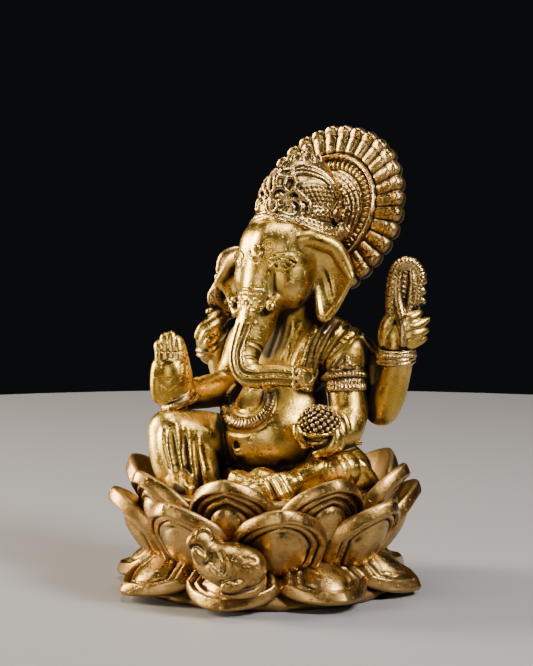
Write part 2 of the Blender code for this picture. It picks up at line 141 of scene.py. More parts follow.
def tube(a, b, ra, rb=None, flat=None, squash=1.0):
    """Rounded cone from a to b. flat: direction in which it is squash times as thick."""
    a, b = np.array(a, float), np.array(b, float)
    rb = ra if rb is None else rb
    ba = b - a
    bb = float(ba @ ba) + 1e-9
    n = None if flat is None else np.array(flat, float) / np.linalg.norm(flat)

    def fn(x, y, z):
        px, py, pz = x - F32(a[0]), y - F32(a[1]), z - F32(a[2])
        h = np.clip((px * F32(ba[0]) + py * F32(ba[1]) + pz * F32(ba[2])) * F32(1 / bb), 0, 1)
        qx, qy, qz = px - h * F32(ba[0]), py - h * F32(ba[1]), pz - h * F32(ba[2])
        s = qx * qx + qy * qy + qz * qz
        if n is not None:
            w = qx * F32(n[0]) + qy * F32(n[1]) + qz * F32(n[2])
            s = s + w * w * F32(1 / squash ** 2 - 1)
        return np.sqrt(s) - (F32(ra) + h * F32(rb - ra))

    rr = np.full(3, max(ra, rb))
    return Shape(np.minimum(a, b) - rr, np.maximum(a, b) + rr, fn)


def smooth_path(points, per=4):
    """Points of a Catmull-Rom curve through stations of any width."""
    p = np.array(points, float)
    if len(p) < 3 or per < 2:
        return p
    q = np.vstack([2 * p[0] - p[1], p, 2 * p[-1] - p[-2]])
    out = []
    for i in range(1, len(q) - 2):
        for j in range(per):
            t = j / per
            out.append(0.5 * (2 * q[i] + (q[i + 1] - q[i - 1]) * t + (2 * q[i - 1] - 5 * q[i] + 4 * q[i + 1] - q[i + 2]) * t * t
                              + (3 * q[i] - q[i - 1] - 3 * q[i + 1] + q[i + 2]) * t ** 3))
    out.append(p[-1])
    return np.array(out)


def rope(stations, per=4, flat=None, squash=1.0):
    """Tubes along a smooth path. Stations are (x, y, z, radius)."""
    s = smooth_path(stations, per)
    return [tube(a[:3], b[:3], a[3], b[3], flat, squash) for a, b in zip(s, s[1:])]


def torus(c, axis, big, small):
    c, n = np.array(c, float), np.array(axis, float) / np.linalg.norm(axis)

    def fn(x, y, z):
        px, py, pz = x - F32(c[0]), y - F32(c[1]), z - F32(c[2])
        w = px * F32(n[0]) + py * F32(n[1]) + pz * F32(n[2])
        rad = np.sqrt(np.maximum(px * px + py * py + pz * pz - w * w, 0)) - F32(big)
        return np.sqrt(rad * rad + w * w) - F32(small)

    r = np.full(3, big + small)
    return Shape(c - r, c + r, fn)


def slab(c, half, turn, rounding=0.3):
    """Rounded box. turn: 3x3 matrix whose columns are its axes."""
    c, half, t = np.array(c, float), np.array(half, float), np.array(turn, float)
    reach = np.abs(t) @ half + rounding

    def fn(x, y, z):
        dx, dy, dz = x - F32(c[0]), y - F32(c[1]), z - F32(c[2])
        q = [np.abs(dx * F32(t[0, k]) + dy * F32(t[1, k]) + dz * F32(t[2, k])) - F32(half[k] - rounding) for k in range(3)]
        out = np.sqrt(np.maximum(q[0], 0) ** 2 + np.maximum(q[1], 0) ** 2 + np.maximum(q[2], 0) ** 2)
        return out + np.minimum(np.maximum(np.maximum(q[0], q[1]), q[2]), 0) - F32(rounding)

    return Shape(c - reach, c + reach, fn)


def axes(z, x=(1, 0, 0)):
    """Matrix of unit axes: the last is z, the first as near x as it can be."""
    z = np.array(z, float) / np.linalg.norm(z)
    x = np.array(x, float) - z * (np.array(x, float) @ z)
    x /= np.linalg.norm(x)
    return np.stack([x, np.cross(z, x), z], axis=1)


class Field:
    """A grid that holds one blended skin, U, and the pieces that it is made of."""

    def __init__(self, lo, hi, h, quick_h=None):
        self.h = h
        self.lo = np.array(lo, float)
        self.n = np.ceil((np.array(hi, float) - self.lo) / self.h).astype(int) + 1
        self.ax = [(self.lo[k] + self.h * np.arange(self.n[k])).astype(F32) for k in range(3)]
        self.U = np.full(self.n, BIG, F32)
        self.parts = {}
        self.order = []

    def window(self, lo, hi, pad):
        i0 = np.clip(np.floor((np.array(lo) - pad - self.lo) / self.h).astype(int), 0, self.n - 1)
        i1 = np.clip(np.ceil((np.array(hi) + pad - self.lo) / self.h).astype(int) + 1, 1, self.n)
        return i0, np.maximum(i1, i0 + 1)

    def coords(self, i0, i1):
        return (self.ax[0][i0[0]:i1[0], None, None], self.ax[1][None, i0[1]:i1[1], None], self.ax[2][None, None, i0[2]:i1[2]])

    def piece(self, name, shapes, k=0.6, blend=0.8, cuts=(), cut_k=0.3, pad=1.3):
        """Adds a piece: shapes joined with softness k, cuts taken out, then blended into the skin."""
        lo = np.min([s.lo for s in shapes], axis=0)
        hi = np.max([s.hi for s in shapes], axis=0)
        p0, p1 = self.window(lo, hi, pad)
        own = np.full(p1 - p0, BIG, F32)
        self.parts[name] = [p0, p1, own]
        self.order.append(name)
        for s in shapes:
            self.apply(own, p0, p1, s, k, "add", pad)
        for s in cuts:
            self.apply(own, p0, p1, s, cut_k, "cut", 0.6)
        view = self.U[p0[0]:p1[0], p0[1]:p1[1], p0[2]:p1[2]]
        view[...] = smin(view, own, blend)

    def apply(self, grid, g0, g1, shape, k, mode, pad=1.3):
        i0, i1 = self.window(shape.lo, shape.hi, pad)
        i0, i1 = np.maximum(i0, g0), np.minimum(i1, g1)
        if np.any(i1 <= i0):
            return
        x, y, z = self.coords(i0, i1)
        d = shape.fn(x, y, z).astype(F32)
        a, b = i0 - g0, i1 - g0
        view = grid[a[0]:b[0], a[1]:b[1], a[2]:b[2]]
        view[...] = smin(view, d, k) if mode == "add" else smax(view, -d, k)

    def grow(self, name, lo, hi, pad=1.2):
        """Makes a piece's own grid reach over a box."""
        p0, p1, own = self.parts[name]
        i0, i1 = self.window(lo, hi, pad)
        q0, q1 = np.minimum(p0, i0), np.maximum(p1, i1)
        if np.array_equal(q0, p0) and np.array_equal(q1, p1):
            return
        wide = np.full(q1 - q0, BIG, F32)
        a, b = p0 - q0, p1 - q0
        wide[a[0]:b[0], a[1]:b[1], a[2]:b[2]] = own
        self.parts[name] = [q0, q1, wide]

    def deco(self, name, shapes, k=0.15, mode="add", pad=0.7):
        """Adds to, or carves, both a piece and the skin."""
        if mode == "add":
            self.grow(name, np.min([s.lo for s in shapes], axis=0), np.max([s.hi for s in shapes], axis=0))
        p0, p1, own = self.parts[name]
        for s in shapes:
            self.apply(own, p0, p1, s, k, mode, pad)
            i0, i1 = self.window(s.lo, s.hi, pad)
            i0, i1 = np.maximum(i0, p0), np.minimum(i1, p1)
            if np.any(i1 <= i0):
                continue
            x, y, z = self.coords(i0, i1)
            d = s.fn(x, y, z).astype(F32)
            view = self.U[i0[0]:i1[0], i0[1]:i1[1], i0[2]:i1[2]]
            view[...] = smin(view, d, k) if mode == "add" else smax(view, -d, k)

    def ripple(self, name, lo, hi, fn):
        """Moves the surface out by fn(x, y, z) mm inside a box, on a piece and on the skin."""
        p0, p1, own = self.parts[name]
        i0, i1 = self.window(lo, hi, 0)
        i0, i1 = np.maximum(i0, p0), np.minimum(i1, p1)
        x, y, z = self.coords(i0, i1)
        d = fn(x, y, z).astype(F32)
        a, b = i0 - p0, i1 - p0
        own[a[0]:b[0], a[1]:b[1], a[2]:b[2]] -= d
        mine = own[a[0]:b[0], a[1]:b[1], a[2]:b[2]]
        view = self.U[i0[0]:i1[0], i0[1]:i1[1], i0[2]:i1[2]]
        near = np.clip(1.0 - (mine + d - view) / F32(0.5), 0, 1)
        view -= d * near

    def sample(self, p, grid=None, g0=None):
        """Trilinear value of a grid at points (n, 3)."""
        grid = self.U if grid is None else grid
        g0 = np.zeros(3, int) if g0 is None else g0
        q = (np.asarray(p, float) - self.lo) / self.h - g0
        shape = np.array(grid.shape)
        q = np.clip(q, 0, shape - 1.001)
        i = q.astype(int)
        f = (q - i).astype(F32)
        out = 0
        for a in (0, 1):
            for b in (0, 1):
                for c in (0, 1):
                    w = (f[:, 0] if a else 1 - f[:, 0]) * (f[:, 1] if b else 1 - f[:, 1]) * (f[:, 2] if c else 1 - f[:, 2])
                    out = out + w * grid[i[:, 0] + a, i[:, 1] + b, i[:, 2] + c]
        return out

    def normal(self, p):
        e = self.h * 0.8
        p = np.atleast_2d(p)
        g = np.stack([self.sample(p + d) - self.sample(p - d) for d in np.eye(3) * e], axis=1)
        return g / (np.linalg.norm(g, axis=1, keepdims=True) + 1e-9)

    def hit(self, start, direction, lift=0.0, reach=130.0, skip=0.0):
        """First point of the skin along a line."""
        d = np.array(direction, float) / np.linalg.norm(direction)
        start = np.array(start, float)
        lo = self.lo
        hi = self.lo + self.h * (self.n - 1)
        with np.errstate(divide="ignore", invalid="ignore"):
            t1, t2 = (lo - start) / d, (hi - start) / d
        near = np.nanmax(np.minimum(t1, t2))
        far = np.nanmin(np.maximum(t1, t2))
        t = np.arange(max(near, 0) + skip, max(far, near + 1), self.h * 0.4)
        pts = start + t[:, None] * d
        val = self.sample(pts)
        inside = np.nonzero(val < 0)[0]
        if len(inside) == 0:
            j = int(np.argmin(val))
            return pts[j]
        j = inside[0]
        if j:
            w = val[j - 1] / (val[j - 1] - val[j] + 1e-9)
            p = pts[j - 1] + (pts[j] - pts[j - 1]) * w
        else:
            p = pts[0]
        if lift:
            p = p + self.normal(p)[0] * lift
        return p

    def seen(self, uv, lift=0.0):
        """Point of the skin seen from the front left at (u, v)."""
        start, d = ray(*uv)
        return self.hit(start, d, lift)

    def trace(self, uvs, r, lift=0.0, per=3):
        """A tube laid on the skin through points seen from the front left. r: radius, or one radius a point."""
        rr = r if hasattr(r, "__len__") else [r] * len(uvs)
        pts = smooth_path([(u, v, q) for (u, v), q in zip(uvs, rr)], per)
        st = [(*self.seen((p[0], p[1]), lift), p[2]) for p in pts]
        return [tube(a[:3], b[:3], a[3], b[3]) for a, b in zip(st, st[1:])]

    def front_trace(self, xzs, r, lift=0.0, per=3, direction=(0, 1, 0)):
        """A tube laid on the skin through points (x, z) met from the front, or along another direction."""
        rr = r if hasattr(r, "__len__") else [r] * len(xzs)
        pts = smooth_path([(x, z, q) for (x, z), q in zip(xzs, rr)], per)
        d = np.array(direction, float)
        st = [(*self.hit(np.array([p[0], 0.0, p[1]]) - d * 60, d, lift), p[2]) for p in pts]
        return [tube(a[:3], b[:3], a[3], b[3]) for a, b in zip(st, st[1:])]




def mesh_from(name, verts, quads=None, tris=None, normals=None, attrs=None, material=None, smooth=True):
    """A mesh object in metres from arrays in mm."""
    mesh = bpy.data.meshes.new(name)
    loops, starts = [], []
    count = 0
    for faces, k in ((quads, 4), (tris, 3)):
        if faces is not None and len(faces):
            loops.append(np.asarray(faces, np.int32).ravel())
            starts.append(count + np.arange(len(faces), dtype=np.int32) * k)
            count += len(faces) * k
    loops, starts = np.concatenate(loops), np.concatenate(starts)
    mesh.vertices.add(len(verts))
    mesh.vertices.foreach_set("co", (np.asarray(verts, F32) * F32(MM)).ravel())
    mesh.loops.add(len(loops))
    mesh.loops.foreach_set("vertex_index", loops)
    mesh.polygons.add(len(starts))
    mesh.polygons.foreach_set("loop_start", starts)
    mesh.update(calc_edges=True)
    mesh.validate()
    if smooth:
        mesh.shade_smooth()
    for key, data in (attrs or {}).items():
        layer = mesh.attributes.new(key, "FLOAT", "POINT")
        layer.data.foreach_set("value", np.asarray(data, F32))
    if normals is not None and len(mesh.vertices) == len(normals):
        mesh.normals_split_custom_set_from_vertices([tuple(v) for v in np.asarray(normals, float)])
    obj = bpy.data.objects.new(name, mesh)
    bpy.context.scene.collection.objects.link(obj)
    if material is not None:
        mesh.materials.append(material)
    return obj


def extract(field, grid, origin_index):
    """Verts (mm) and quads, facing out, of the zero surface of a grid."""
    h = field.h
    g = np.clip(grid, -3 * h, 3 * h).astype(F32)
    for axis in range(3):
        for end in (0, -1):
            s = [slice(None)] * 3
            s[axis] = end
            g[tuple(s)] = np.maximum(g[tuple(s)], h)
    vol = vdb.FloatGrid(3 * h)
    vol.copyFromArray(g, tolerance=0.0)
    pts, quads = vol.convertToQuads(0.0)
    verts = pts * h + field.lo + np.asarray(origin_index) * h
    return verts, quads


def keep_largest(verts, quads):
    """Only the biggest connected piece."""
    n = len(verts)
    label = np.arange(n)
    while True:
        low = label[quads].min(axis=1)
        new = label.copy()
        np.minimum.at(new, quads.ravel(), np.repeat(low, 4))
        new = new[new]
        if np.array_equal(new, label):
            break
        label = new
    ids, counts = np.unique(label, return_counts=True)
    best = ids[np.argmax(counts)]
    keep = label == best
    remap = np.cumsum(keep) - 1
    q = quads[keep[quads[:, 0]]]
    return verts[keep], remap[q]


def outward(verts, quads):
    a, b, c, d = (verts[quads[:, k]] for k in range(4))
    vol = np.einsum("ij,ij->i", a, np.cross(b, c)).sum() + np.einsum("ij,ij->i", a, np.cross(c, d)).sum()
    return quads if vol > 0 else quads[:, ::-1]


def cells(field, overlap=0.35, dive=0.5):
    """Cuts the blended skin into its pieces: each closed, and slipping under its neighbours at the seams."""
    m1 = np.full(field.n, BIG, F32)
    m2 = np.full(field.n, BIG, F32)
    who = np.full(field.n, -1, np.int16)
    for i, name in enumerate(field.order):
        p0, p1, own = field.parts[name]
        s = tuple(slice(a, b) for a, b in zip(p0, p1))
        a, b, w = m1[s], m2[s], who[s]
        first = own < a
        b[...] = np.where(first, a, np.minimum(b, own))
        w[first] = i
        a[...] = np.where(first, own, a)
    out = {}
    for i, name in enumerate(field.order):
        p0, p1, own = field.parts[name]
        s = tuple(slice(a, b) for a, b in zip(p0, p1))
        others = np.where(who[s] == i, m2[s], m1[s])
        g = (own - others) * F32(0.5)
        skin = field.U[s] + F32(dive) * np.maximum(g, 0)
        solid = np.maximum(skin, g - F32(overlap))
        verts, quads = extract(field, solid, p0)
        if len(quads) == 0:
            print("EMPTY", name)
            continue
        verts, quads = keep_largest(verts, quads)
        quads = outward(verts, quads)
        out[name] = (verts, quads, field.normal(verts))
    return out


def at(col, row, w=0.0):
    """Point at depth w toward the viewer, on the line of sight through a place of the front left drawing."""
    u, v = S(col, row)
    _, d = ray(u, v)
    t = (DISTANCE - w) / -(d @ BACK)
    return EYE + d * t


def A(col, row, w, r):
    return (*at(col, row, w), r)


def mirror(p):
    q = np.array(p, float)
    q[0] = -q[0]
    return q


# ------------------------------------------------------------------ body
body = Field((-22.0, -17.5, 15.5), (24.5, 19.5, 63.5), 0.18, 0.315)

SEAT = 17.2
body.piece("hips", [ball((0.0, 4.6, 20.2), (11.6, 8.8, 4.4)), ball((0.0, -1.0, 18.6), (8.0, 6.0, 2.6))], k=1.5)
body.piece("torso", [
    ball((0.3, 2.3, 25.2), (9.2, 9.0, 8.4)),
    ball((0.2, 4.4, 30.6), (7.6, 6.6, 6.2)),
    ball((0.0, 5.8, 37.4), (8.2, 5.6, 6.4)),
    *rope([(-9.4, 8.2, 39.2, 3.7), (0.0, 7.4, 41.4, 4.6), (9.4, 8.2, 39.2, 3.7)]),
    tube((0.0, 6.8, 41.0), (0.0, 6.2, 48.0), 5.0, 5.2),
], k=2.2, blend=1.0)

# folded left leg and raised right leg
body.piece("left_leg", [
    *rope([(5.5, 4.5, 20.6, 4.6), (11.0, 4.0, 20.9, 4.3), (15.2, 2.6, 20.6, 3.7)]),
    *rope([(15.4, 2.2, 20.4, 3.5), (14.0, -1.6, 20.6, 2.6), (10.6, -6.0, 19.2, 2.05)]),
    ball((14.6, 3.4, 19.0), (4.6, 4.8, 2.6)),
], k=1.0, blend=0.6)
body.piece("right_leg", [
    *rope([(-5.5, 3.0, 22.0, 4.4), (-9.0, -4.0, 24.4, 4.2), (-12.3, -10.2, 26.2, 3.4)]),
    *rope([(-12.4, -10.3, 26.2, 3.3), (-11.4, -11.4, 22.4, 3.0), (-9.8, -12.0, 18.6, 2.6)]),
    *rope([(-9.6, -5.6, 23.4, 3.6), (-7.4, -8.4, 18.8, 3.4)]),
    ball((-9.2, -8.6, 20.6), (3.8, 4.2, 4.6)),
], k=1.1, blend=0.5)
body.piece("left_foot", [*rope([A(288, 484, 11.0, 1.9), A(272, 490, 11.5, 1.8), A(250, 494, 12.5, 1.5)])], k=0.5, blend=0.4)
body.piece("right_foot", [*rope([(-8.6, -12.4, 18.4, 2.2), (-5.6, -15.0, 18.0, 1.7), (-3.6, -16.0, 17.8, 1.2)])], k=0.5, blend=0.4)
body.piece("dhoti_pleats", [*rope([A(262, 482, 9.5, 2.4), A(276, 489, 11.0, 2.2), A(284, 496, 12.0, 1.8)]),
                            *rope([A(240, 482, 8.5, 2.0), A(252, 490, 10.5, 2.0)])], k=0.7, blend=0.5)

# arms
body.piece("front_left_arm", [
    *rope([(10.4, 8.0, 39.4, 3.5), (11.2, 6.8, 35.2, 2.95), (12.9, 5.4, 29.2, 3.0)]),
    *rope([(12.9, 5.4, 29.2, 3.0), (13.9, 3.0, 26.9, 2.75), (13.7, 0.2, 26.0, 2.3)]),
], k=0.8, blend=1.0)
body.piece("front_right_arm", [
    *rope([(-10.4, 8.0, 39.4, 3.6), (-12.0, 7.2, 35.0, 3.1), (-12.8, 4.8, 31.6, 2.9)]),
    *rope([(-12.8, 4.8, 31.6, 2.8), (-13.3, 0.0, 31.4, 2.6), (-13.6, -5.6, 31.4, 2.35)]),
], k=0.8, blend=1.0)
body.piece("rear_left_arm", [
    *rope([(9.5, 12.0, 38.0, 3.2), (13.4, 12.0, 33.4, 2.9), (15.6, 10.9, 30.0, 2.8)]),
    *rope([(15.6, 10.9, 30.0, 2.75), (17.4, 10.6, 32.6, 2.55), (18.9, 10.6, 36.8, 2.2), (19.3, 10.7, 39.4, 2.1)]),
], k=0.8, blend=0.8)
body.piece("rear_right_arm", [
    *rope([(-9.5, 12.0, 38.0, 3.2), (-13.6, 12.4, 33.0, 2.9), (-16.4, 11.6, 30.6, 2.6)]),
    *rope([(-16.4, 11.6, 30.6, 2.5), (-18.0, 10.8, 33.0, 2.2), (-19.3, 10.2, 37.4, 1.9)]),
], k=0.8, blend=0.8)

bare = body.U.copy()

# head
CRANIUM = (0.0, 5.0, 54.4)
body.piece("head", [
    ball(CRANIUM, (6.7, 7.2, 7.4)),
    ball((0.0, 1.6, 51.4), (4.8, 5.2, 6.2)),
    tube((0.0, 0.6, 57.4), (0.0, -1.6, 49.0), 2.5, 3.0), ball((0.0, 2.7, 57.2), (5.0, 4.3, 3.7)),
    ball((4.0, 1.8, 50.8), (3.0, 3.8, 4.2)), ball((-4.0, 1.8, 50.8), (3.0, 3.8, 4.2)),
    ball((3.3, 2.2, 53.8), (3.0, 3.8, 5.2)), ball((-3.3, 2.2, 53.8), (3.0, 3.8, 5.2)),
    ball((3.3, 3.3, 56.6), (3.0, 4.2, 4.0)), ball((-3.3, 3.3, 56.6), (3.0, 4.2, 4.0)),
], k=2.1, blend=0.5)
TRUNK = [(0.0, -0.8, 49.6, 3.3), (0.0, -2.4, 45.2, 3.15), (0.0, -5.0, 40.8, 2.65), (0.45, -6.4, 38.4, 2.3), (1.7, -6.8, 36.5, 2.1),
         (4.0, -6.4, 36.0, 1.95), (7.4, -5.9, 36.4, 1.85), (10.3, -5.5, 36.4, 1.7), (12.0, -5.2, 36.4, 1.6)]
body.piece("trunk", [*rope(TRUNK, 5)], k=0.5, blend=1.3)
for side, name in ((1, "left"), (-1, "right")):
    body.piece("tusk_" + name, [tube((side * 3.1, -1.2, 48.6), (side * 3.8, -3.2, 47.5), 1.15, 1.0),
                                ball((side * 4.0, -3.9, 47.2), 0.72)], k=0.3, blend=0.8)


def polygon_distance(a, b, pts):
    """Signed distance to a closed outline, for arrays a, b."""
    p = np.array(pts, float)
    best = None
    inside = None
    for i in range(len(p)):
        p0, p1 = p[i - 1], p[i]
        e = p1 - p0
        wa, wb = a - F32(p0[0]), b - F32(p0[1])
        h = np.clip((wa * F32(e[0]) + wb * F32(e[1])) * F32(1 / (e @ e + 1e-9)), 0, 1)
        da, db = wa - h * F32(e[0]), wb - h * F32(e[1])
        d = da * da + db * db
        best = d if best is None else np.minimum(best, d)
        up = (p0[1] > b) != (p1[1] > b)
        cross = a < (p1[0] - p0[0]) * (b - p0[1]) / (p1[1] - p0[1] + 1e-12) + p0[0]
        flip = up & cross
        inside = flip if inside is None else inside ^ flip
    d = np.sqrt(best)
    return np.where(inside, -d, d)


def flap(outline, origin, across, height, thick, edge=0.35):
    """A bent plate: outline (a, z) along a direction, standing height(a, z) off its plane along the normal."""
    origin = np.array(origin, float)
    across = np.array([across[0], across[1], 0.0]) / math.hypot(across[0], across[1])
    normal = np.array([across[1], -across[0], 0.0])
    pts = smooth_path(list(outline) + [outline[0]], 4)[:-1]
    a0, a1 = pts[:, 0].min(), pts[:, 0].max()
    corners = [origin + across * a + normal * n for a in (a0, a1) for n in (-3.5, 3.5)]
    lo = np.min(corners, axis=0)
    hi = np.max(corners, axis=0)
    lo[2], hi[2] = pts[:, 1].min(), pts[:, 1].max()

    def fn(x, y, z):
        dx, dy = x - F32(origin[0]), y - F32(origin[1])
        a = dx * F32(across[0]) + dy * F32(across[1]) + 0 * z
        n = dx * F32(normal[0]) + dy * F32(normal[1])
        zz = z + 0 * a
        side = polygon_distance(a, zz, pts) + F32(edge)
        sheet = np.abs(n - height(a, zz)) * F32(0.85) - F32(thick / 2 - edge)
        out = np.sqrt(np.maximum(side, 0) ** 2 + np.maximum(sheet, 0) ** 2)
        return out + np.minimum(np.maximum(side, sheet), 0) - F32(edge)

    return Shape(lo - 0.5, hi + 0.5, fn)


# ears: hanging flaps, dished, with a rolled upper rim
EAR = [(-1.6, 57.2), (0.4, 58.1), (2.6, 57.6), (4.6, 56.6), (5.9, 54.6), (7.3, 51.7), (6.1, 49.3), (4.9, 47.0), (3.6, 45.2),
       (2.7, 44.6), (1.9, 45.4), (1.5, 47.6), (1.2, 50.4), (-0.6, 51.2), (-1.8, 54.0)]
EAR_O = np.array([7.4, 1.6, 0.0])


def ear_bend(a, z):
    dish = ((a - F32(3.2)) / F32(4.2)) ** 2 + ((z - F32(51.6)) / F32(6.6)) ** 2
    return F32(0.55) - F32(2.5) * np.maximum(1 - dish, 0) + F32(0.12) * a


EARS = {
    # side: origin, direction along the flap, scale of the outline along it, and its height map
    "left": (1, (6.2, 3.1), (0.80, 0.60), 1.0, lambda z: z),
    "right": (-1, (-5.3, 2.6), (-1.0, 0.06), 0.9, lambda z: 50.0 + (z - 51.7) * 0.74),
}
for name, (side, base_xy, along, sx, zmap) in EARS.items():
    along = np.array([along[0], along[1], 0.0]) / math.hypot(*along)
    outn = np.array([along[1], -along[0], 0.0]) * side
    origin = np.array([base_xy[0], base_xy[1], 0.0])
    zinv = (lambda z: z) if side > 0 else (lambda z: 51.7 + (z - 50.0) / 0.74)
    line = [(a * sx, zmap(z)) for a, z in EAR]

    def height(a, z, sx=sx, zinv=zinv):
        return ear_bend(a / F32(sx), zinv(z))

    def on_ear(a, z, lift=0.0, along=along, outn=outn, origin=origin, sx=sx, zmap=zmap):
        n = float(ear_bend(np.float64(a), np.float64(z))) + lift
        q = origin + along * a * sx + outn * n
        q[2] = zmap(z)
        return q

    bend = height if side > 0 else (lambda a, z, h=height: -h(a, z))
    plate = flap(line, origin, along, bend, 0.95)
    rim = [(-2.2, 57.4), (0.4, 58.1), (2.6, 57.5), (4.5, 56.5), (5.8, 54.5), (6.6, 52.9), (7.2, 51.7)]
    rim_r = [1.2, 1.35, 1.35, 1.25, 1.1, 0.85, 0.5]
    back = [(7.2, 51.7), (6.0, 49.3), (4.8, 47.0), (3.5, 45.3), (2.7, 44.8)]
    front = [(2.7, 44.8), (1.95, 45.6), (1.5, 47.8), (1.3, 50.2)]
    shapes = [plate]
    for line_pts, rr in ((rim, rim_r), (back, [0.45, 0.42, 0.42, 0.45, 0.5]), (front, [0.5, 0.46, 0.42, 0.35])):
        shapes += rope([(*on_ear(a, z, 0.1), r) for (a, z), r in zip(line_pts, rr)])
    body.piece("ear_" + name, shapes, k=0.4, blend=1.0)
    # folds in the dish
    body.deco("ear_" + name, rope([(*on_ear(4.6, 56.0, 0.35), 0.3), (*on_ear(5.0, 54.0, 0.25), 0.34), (*on_ear(6.4, 52.0, 0.15), 0.25)]), k=0.4)
    body.deco("ear_" + name, rope([(*on_ear(2.4, 53.0, 0.3), 0.2), (*on_ear(3.5, 50.2, 0.25), 0.28), (*on_ear(4.0, 47.8, 0.2), 0.2)]), k=0.6)

# shawl over the left shoulder: a raised sheet with folds running down to the front
def cloth_over(field, view_outline, thick, keep, names=("torso", "front_left_arm")):
    """A layer of cloth lying on the skin so far, inside an outline of the front left view."""
    base = bare
    lo3, hi3 = keep
    i0, i1 = field.window(lo3, hi3, 0)
    pts = smooth_path(list(view_outline) + [view_outline[0]], 4)[:-1]

    def fn(x, y, z):
        qx, qy, qz = x - F32(AIM[0]), y - F32(AIM[1]), z - F32(AIM[2])
        u = qx * F32(RIGHT[0]) + qy * F32(RIGHT[1])
        v = qx * F32(UP[0]) + qy * F32(UP[1]) + qz * F32(UP[2])
        w = qx * F32(BACK[0]) + qy * F32(BACK[1]) + qz * F32(BACK[2])
        s = F32(DISTANCE) / (F32(DISTANCE) - w)
        side = polygon_distance(u * s, v * s, pts)
        j0 = np.array([int(round((float(a.ravel()[0]) - field.lo[k]) / field.h)) for k, a in enumerate((x, y, z))])
        j1 = j0 + np.array([x.size, y.size, z.size])
        d = base[j0[0]:j1[0], j0[1]:j1[1], j0[2]:j1[2]] - F32(thick)
        d = smax(d, F32(2.6) - x + 0 * d, 1.2)
        return smax(d, side.astype(F32), 1.2)

    return Shape(lo3, hi3, fn)


shawl_line = [S(*p) for p in ((318, 318), (330, 312), (352, 322), (368, 330), (377, 338), (380, 352), (372, 352), (361, 338), (352, 345), (338, 362), (326, 380),
                              (320, 389), (313, 393), (303, 392), (295, 386), (290, 372), (300, 345))]
body.piece("shawl", [cloth_over(body, shawl_line, 0.6, ((1.0, -9.5, 26.0), (16.0, 16.5, 47.0)))], k=0.3, blend=0.5)

# ------------------------------------------------------------------ relief on the body
# channel down the front of the trunk: three fine ridges from the root to the tip
def along_trunk(lift_angle, r, t0=0.16, t1=0.93, lift=0.0, n=30):
    """Points along the trunk's skin at an angle round it. 0 is the figure's front, positive to its left."""
    path = smooth_path(TRUNK, 10)
    m = len(path)
    out = []
    for t in np.linspace(t0, t1, n):
        f = t * (m - 1)
        i = min(int(f), m - 2)
        p = path[i] + (path[i + 1] - path[i]) * (f - i)
        tan = path[i + 1][:3] - path[i][:3]
        tan = tan / np.linalg.norm(tan)
        front = vec(0.05, -1.0, 0.0)
        front = front - tan * (front @ tan)
        # beyond the bend the ridge side turns downward and forward
        front = front / np.linalg.norm(front)
        side = np.cross(front, tan)
        q = front * math.cos(lift_angle) + side * math.sin(lift_angle)
        out.append((*(p[:3] + q * (p[3] + lift)), r))
    return [tube(a[:3], b[:3], a[3], b[3]) for a, b in zip(out, out[1:])]


for ang, r in ((-0.62, 0.24), (0.02, 0.26), (0.62, 0.24)):
    body.deco("trunk", along_trunk(ang, r, 0.17, 0.955, 0.02), k=0.12)
for ang in (-0.3, 0.33):
    body.deco("trunk", along_trunk(ang, 0.27, 0.19, 0.95, 0.08), k=0.1, mode="cut")
# squared, flared tip
tip_axes = axes((0.95, 0.05, 0.0), (0, 0, 1))
body.deco("trunk", [slab((12.6, -5.3, 36.5), (1.45, 1.5, 0.55), axes((0.97, 0.15, 0.1), (0, 0, 1)), 0.3)], k=0.3)
body.deco("trunk", [slab((11.1, -5.5, 36.4), (1.95, 1.7, 0.28), axes((0.97, 0.15, 0.02), (0, 0, 1)), 0.2)], k=0.2)
body.deco("trunk", [ball((13.3, -5.4, 36.7), (0.5, 0.7, 0.75))], k=0.2, mode="cut")

# wrinkles across the trunk's side
for t, wid in ((0.27, 0.7), (0.30, 0.7), (0.33, 0.6), (0.36, 0.6), (0.39, 0.5)):
    path = smooth_path(TRUNK, 10)
    f = t * (len(path) - 1)
    p = path[int(f)]
    pts = []
    for a in np.linspace(0.9, 2.3, 8):
        tan = path[int(f) + 1][:3] - p[:3]
        tan /= np.linalg.norm(tan)
        front = vec(0, -1, 0) - tan * (vec(0, -1, 0) @ tan)
        front /= np.linalg.norm(front)
        side = np.cross(front, tan)
        pts.append((*(p[:3] + (front * math.cos(a) + side * math.sin(a)) * (p[3] + 0.22)), 0.32))
    body.deco("trunk", [tube(a[:3], b[:3], a[3], b[3]) for a, b in zip(pts, pts[1:])], k=0.3, mode="cut")
# ribs under the trunk's free length
path = smooth_path(TRUNK, 10)
for t in np.linspace(0.58, 0.88, 13):
    f = t * (len(path) - 1)
    p = path[int(f)]
    tan = path[int(f) + 1][:3] - p[:3]
    tan /= np.linalg.norm(tan)
    down = vec(0, 0, -1) - tan * (vec(0, 0, -1) @ tan)
    down /= np.linalg.norm(down)
    fwd = np.cross(down, tan)
    if fwd[1] > 0:
        fwd = -fwd
    pts = [(*(p[:3] + (down * math.cos(a) + fwd * math.sin(a)) * (p[3] + 0.02)), 0.15) for a in np.linspace(-0.5, 0.75, 6)]
    body.deco("trunk", [tube(a[:3], b[:3], a[3], b[3]) for a, b in zip(pts, pts[1:])], k=0.12, mode="cut")

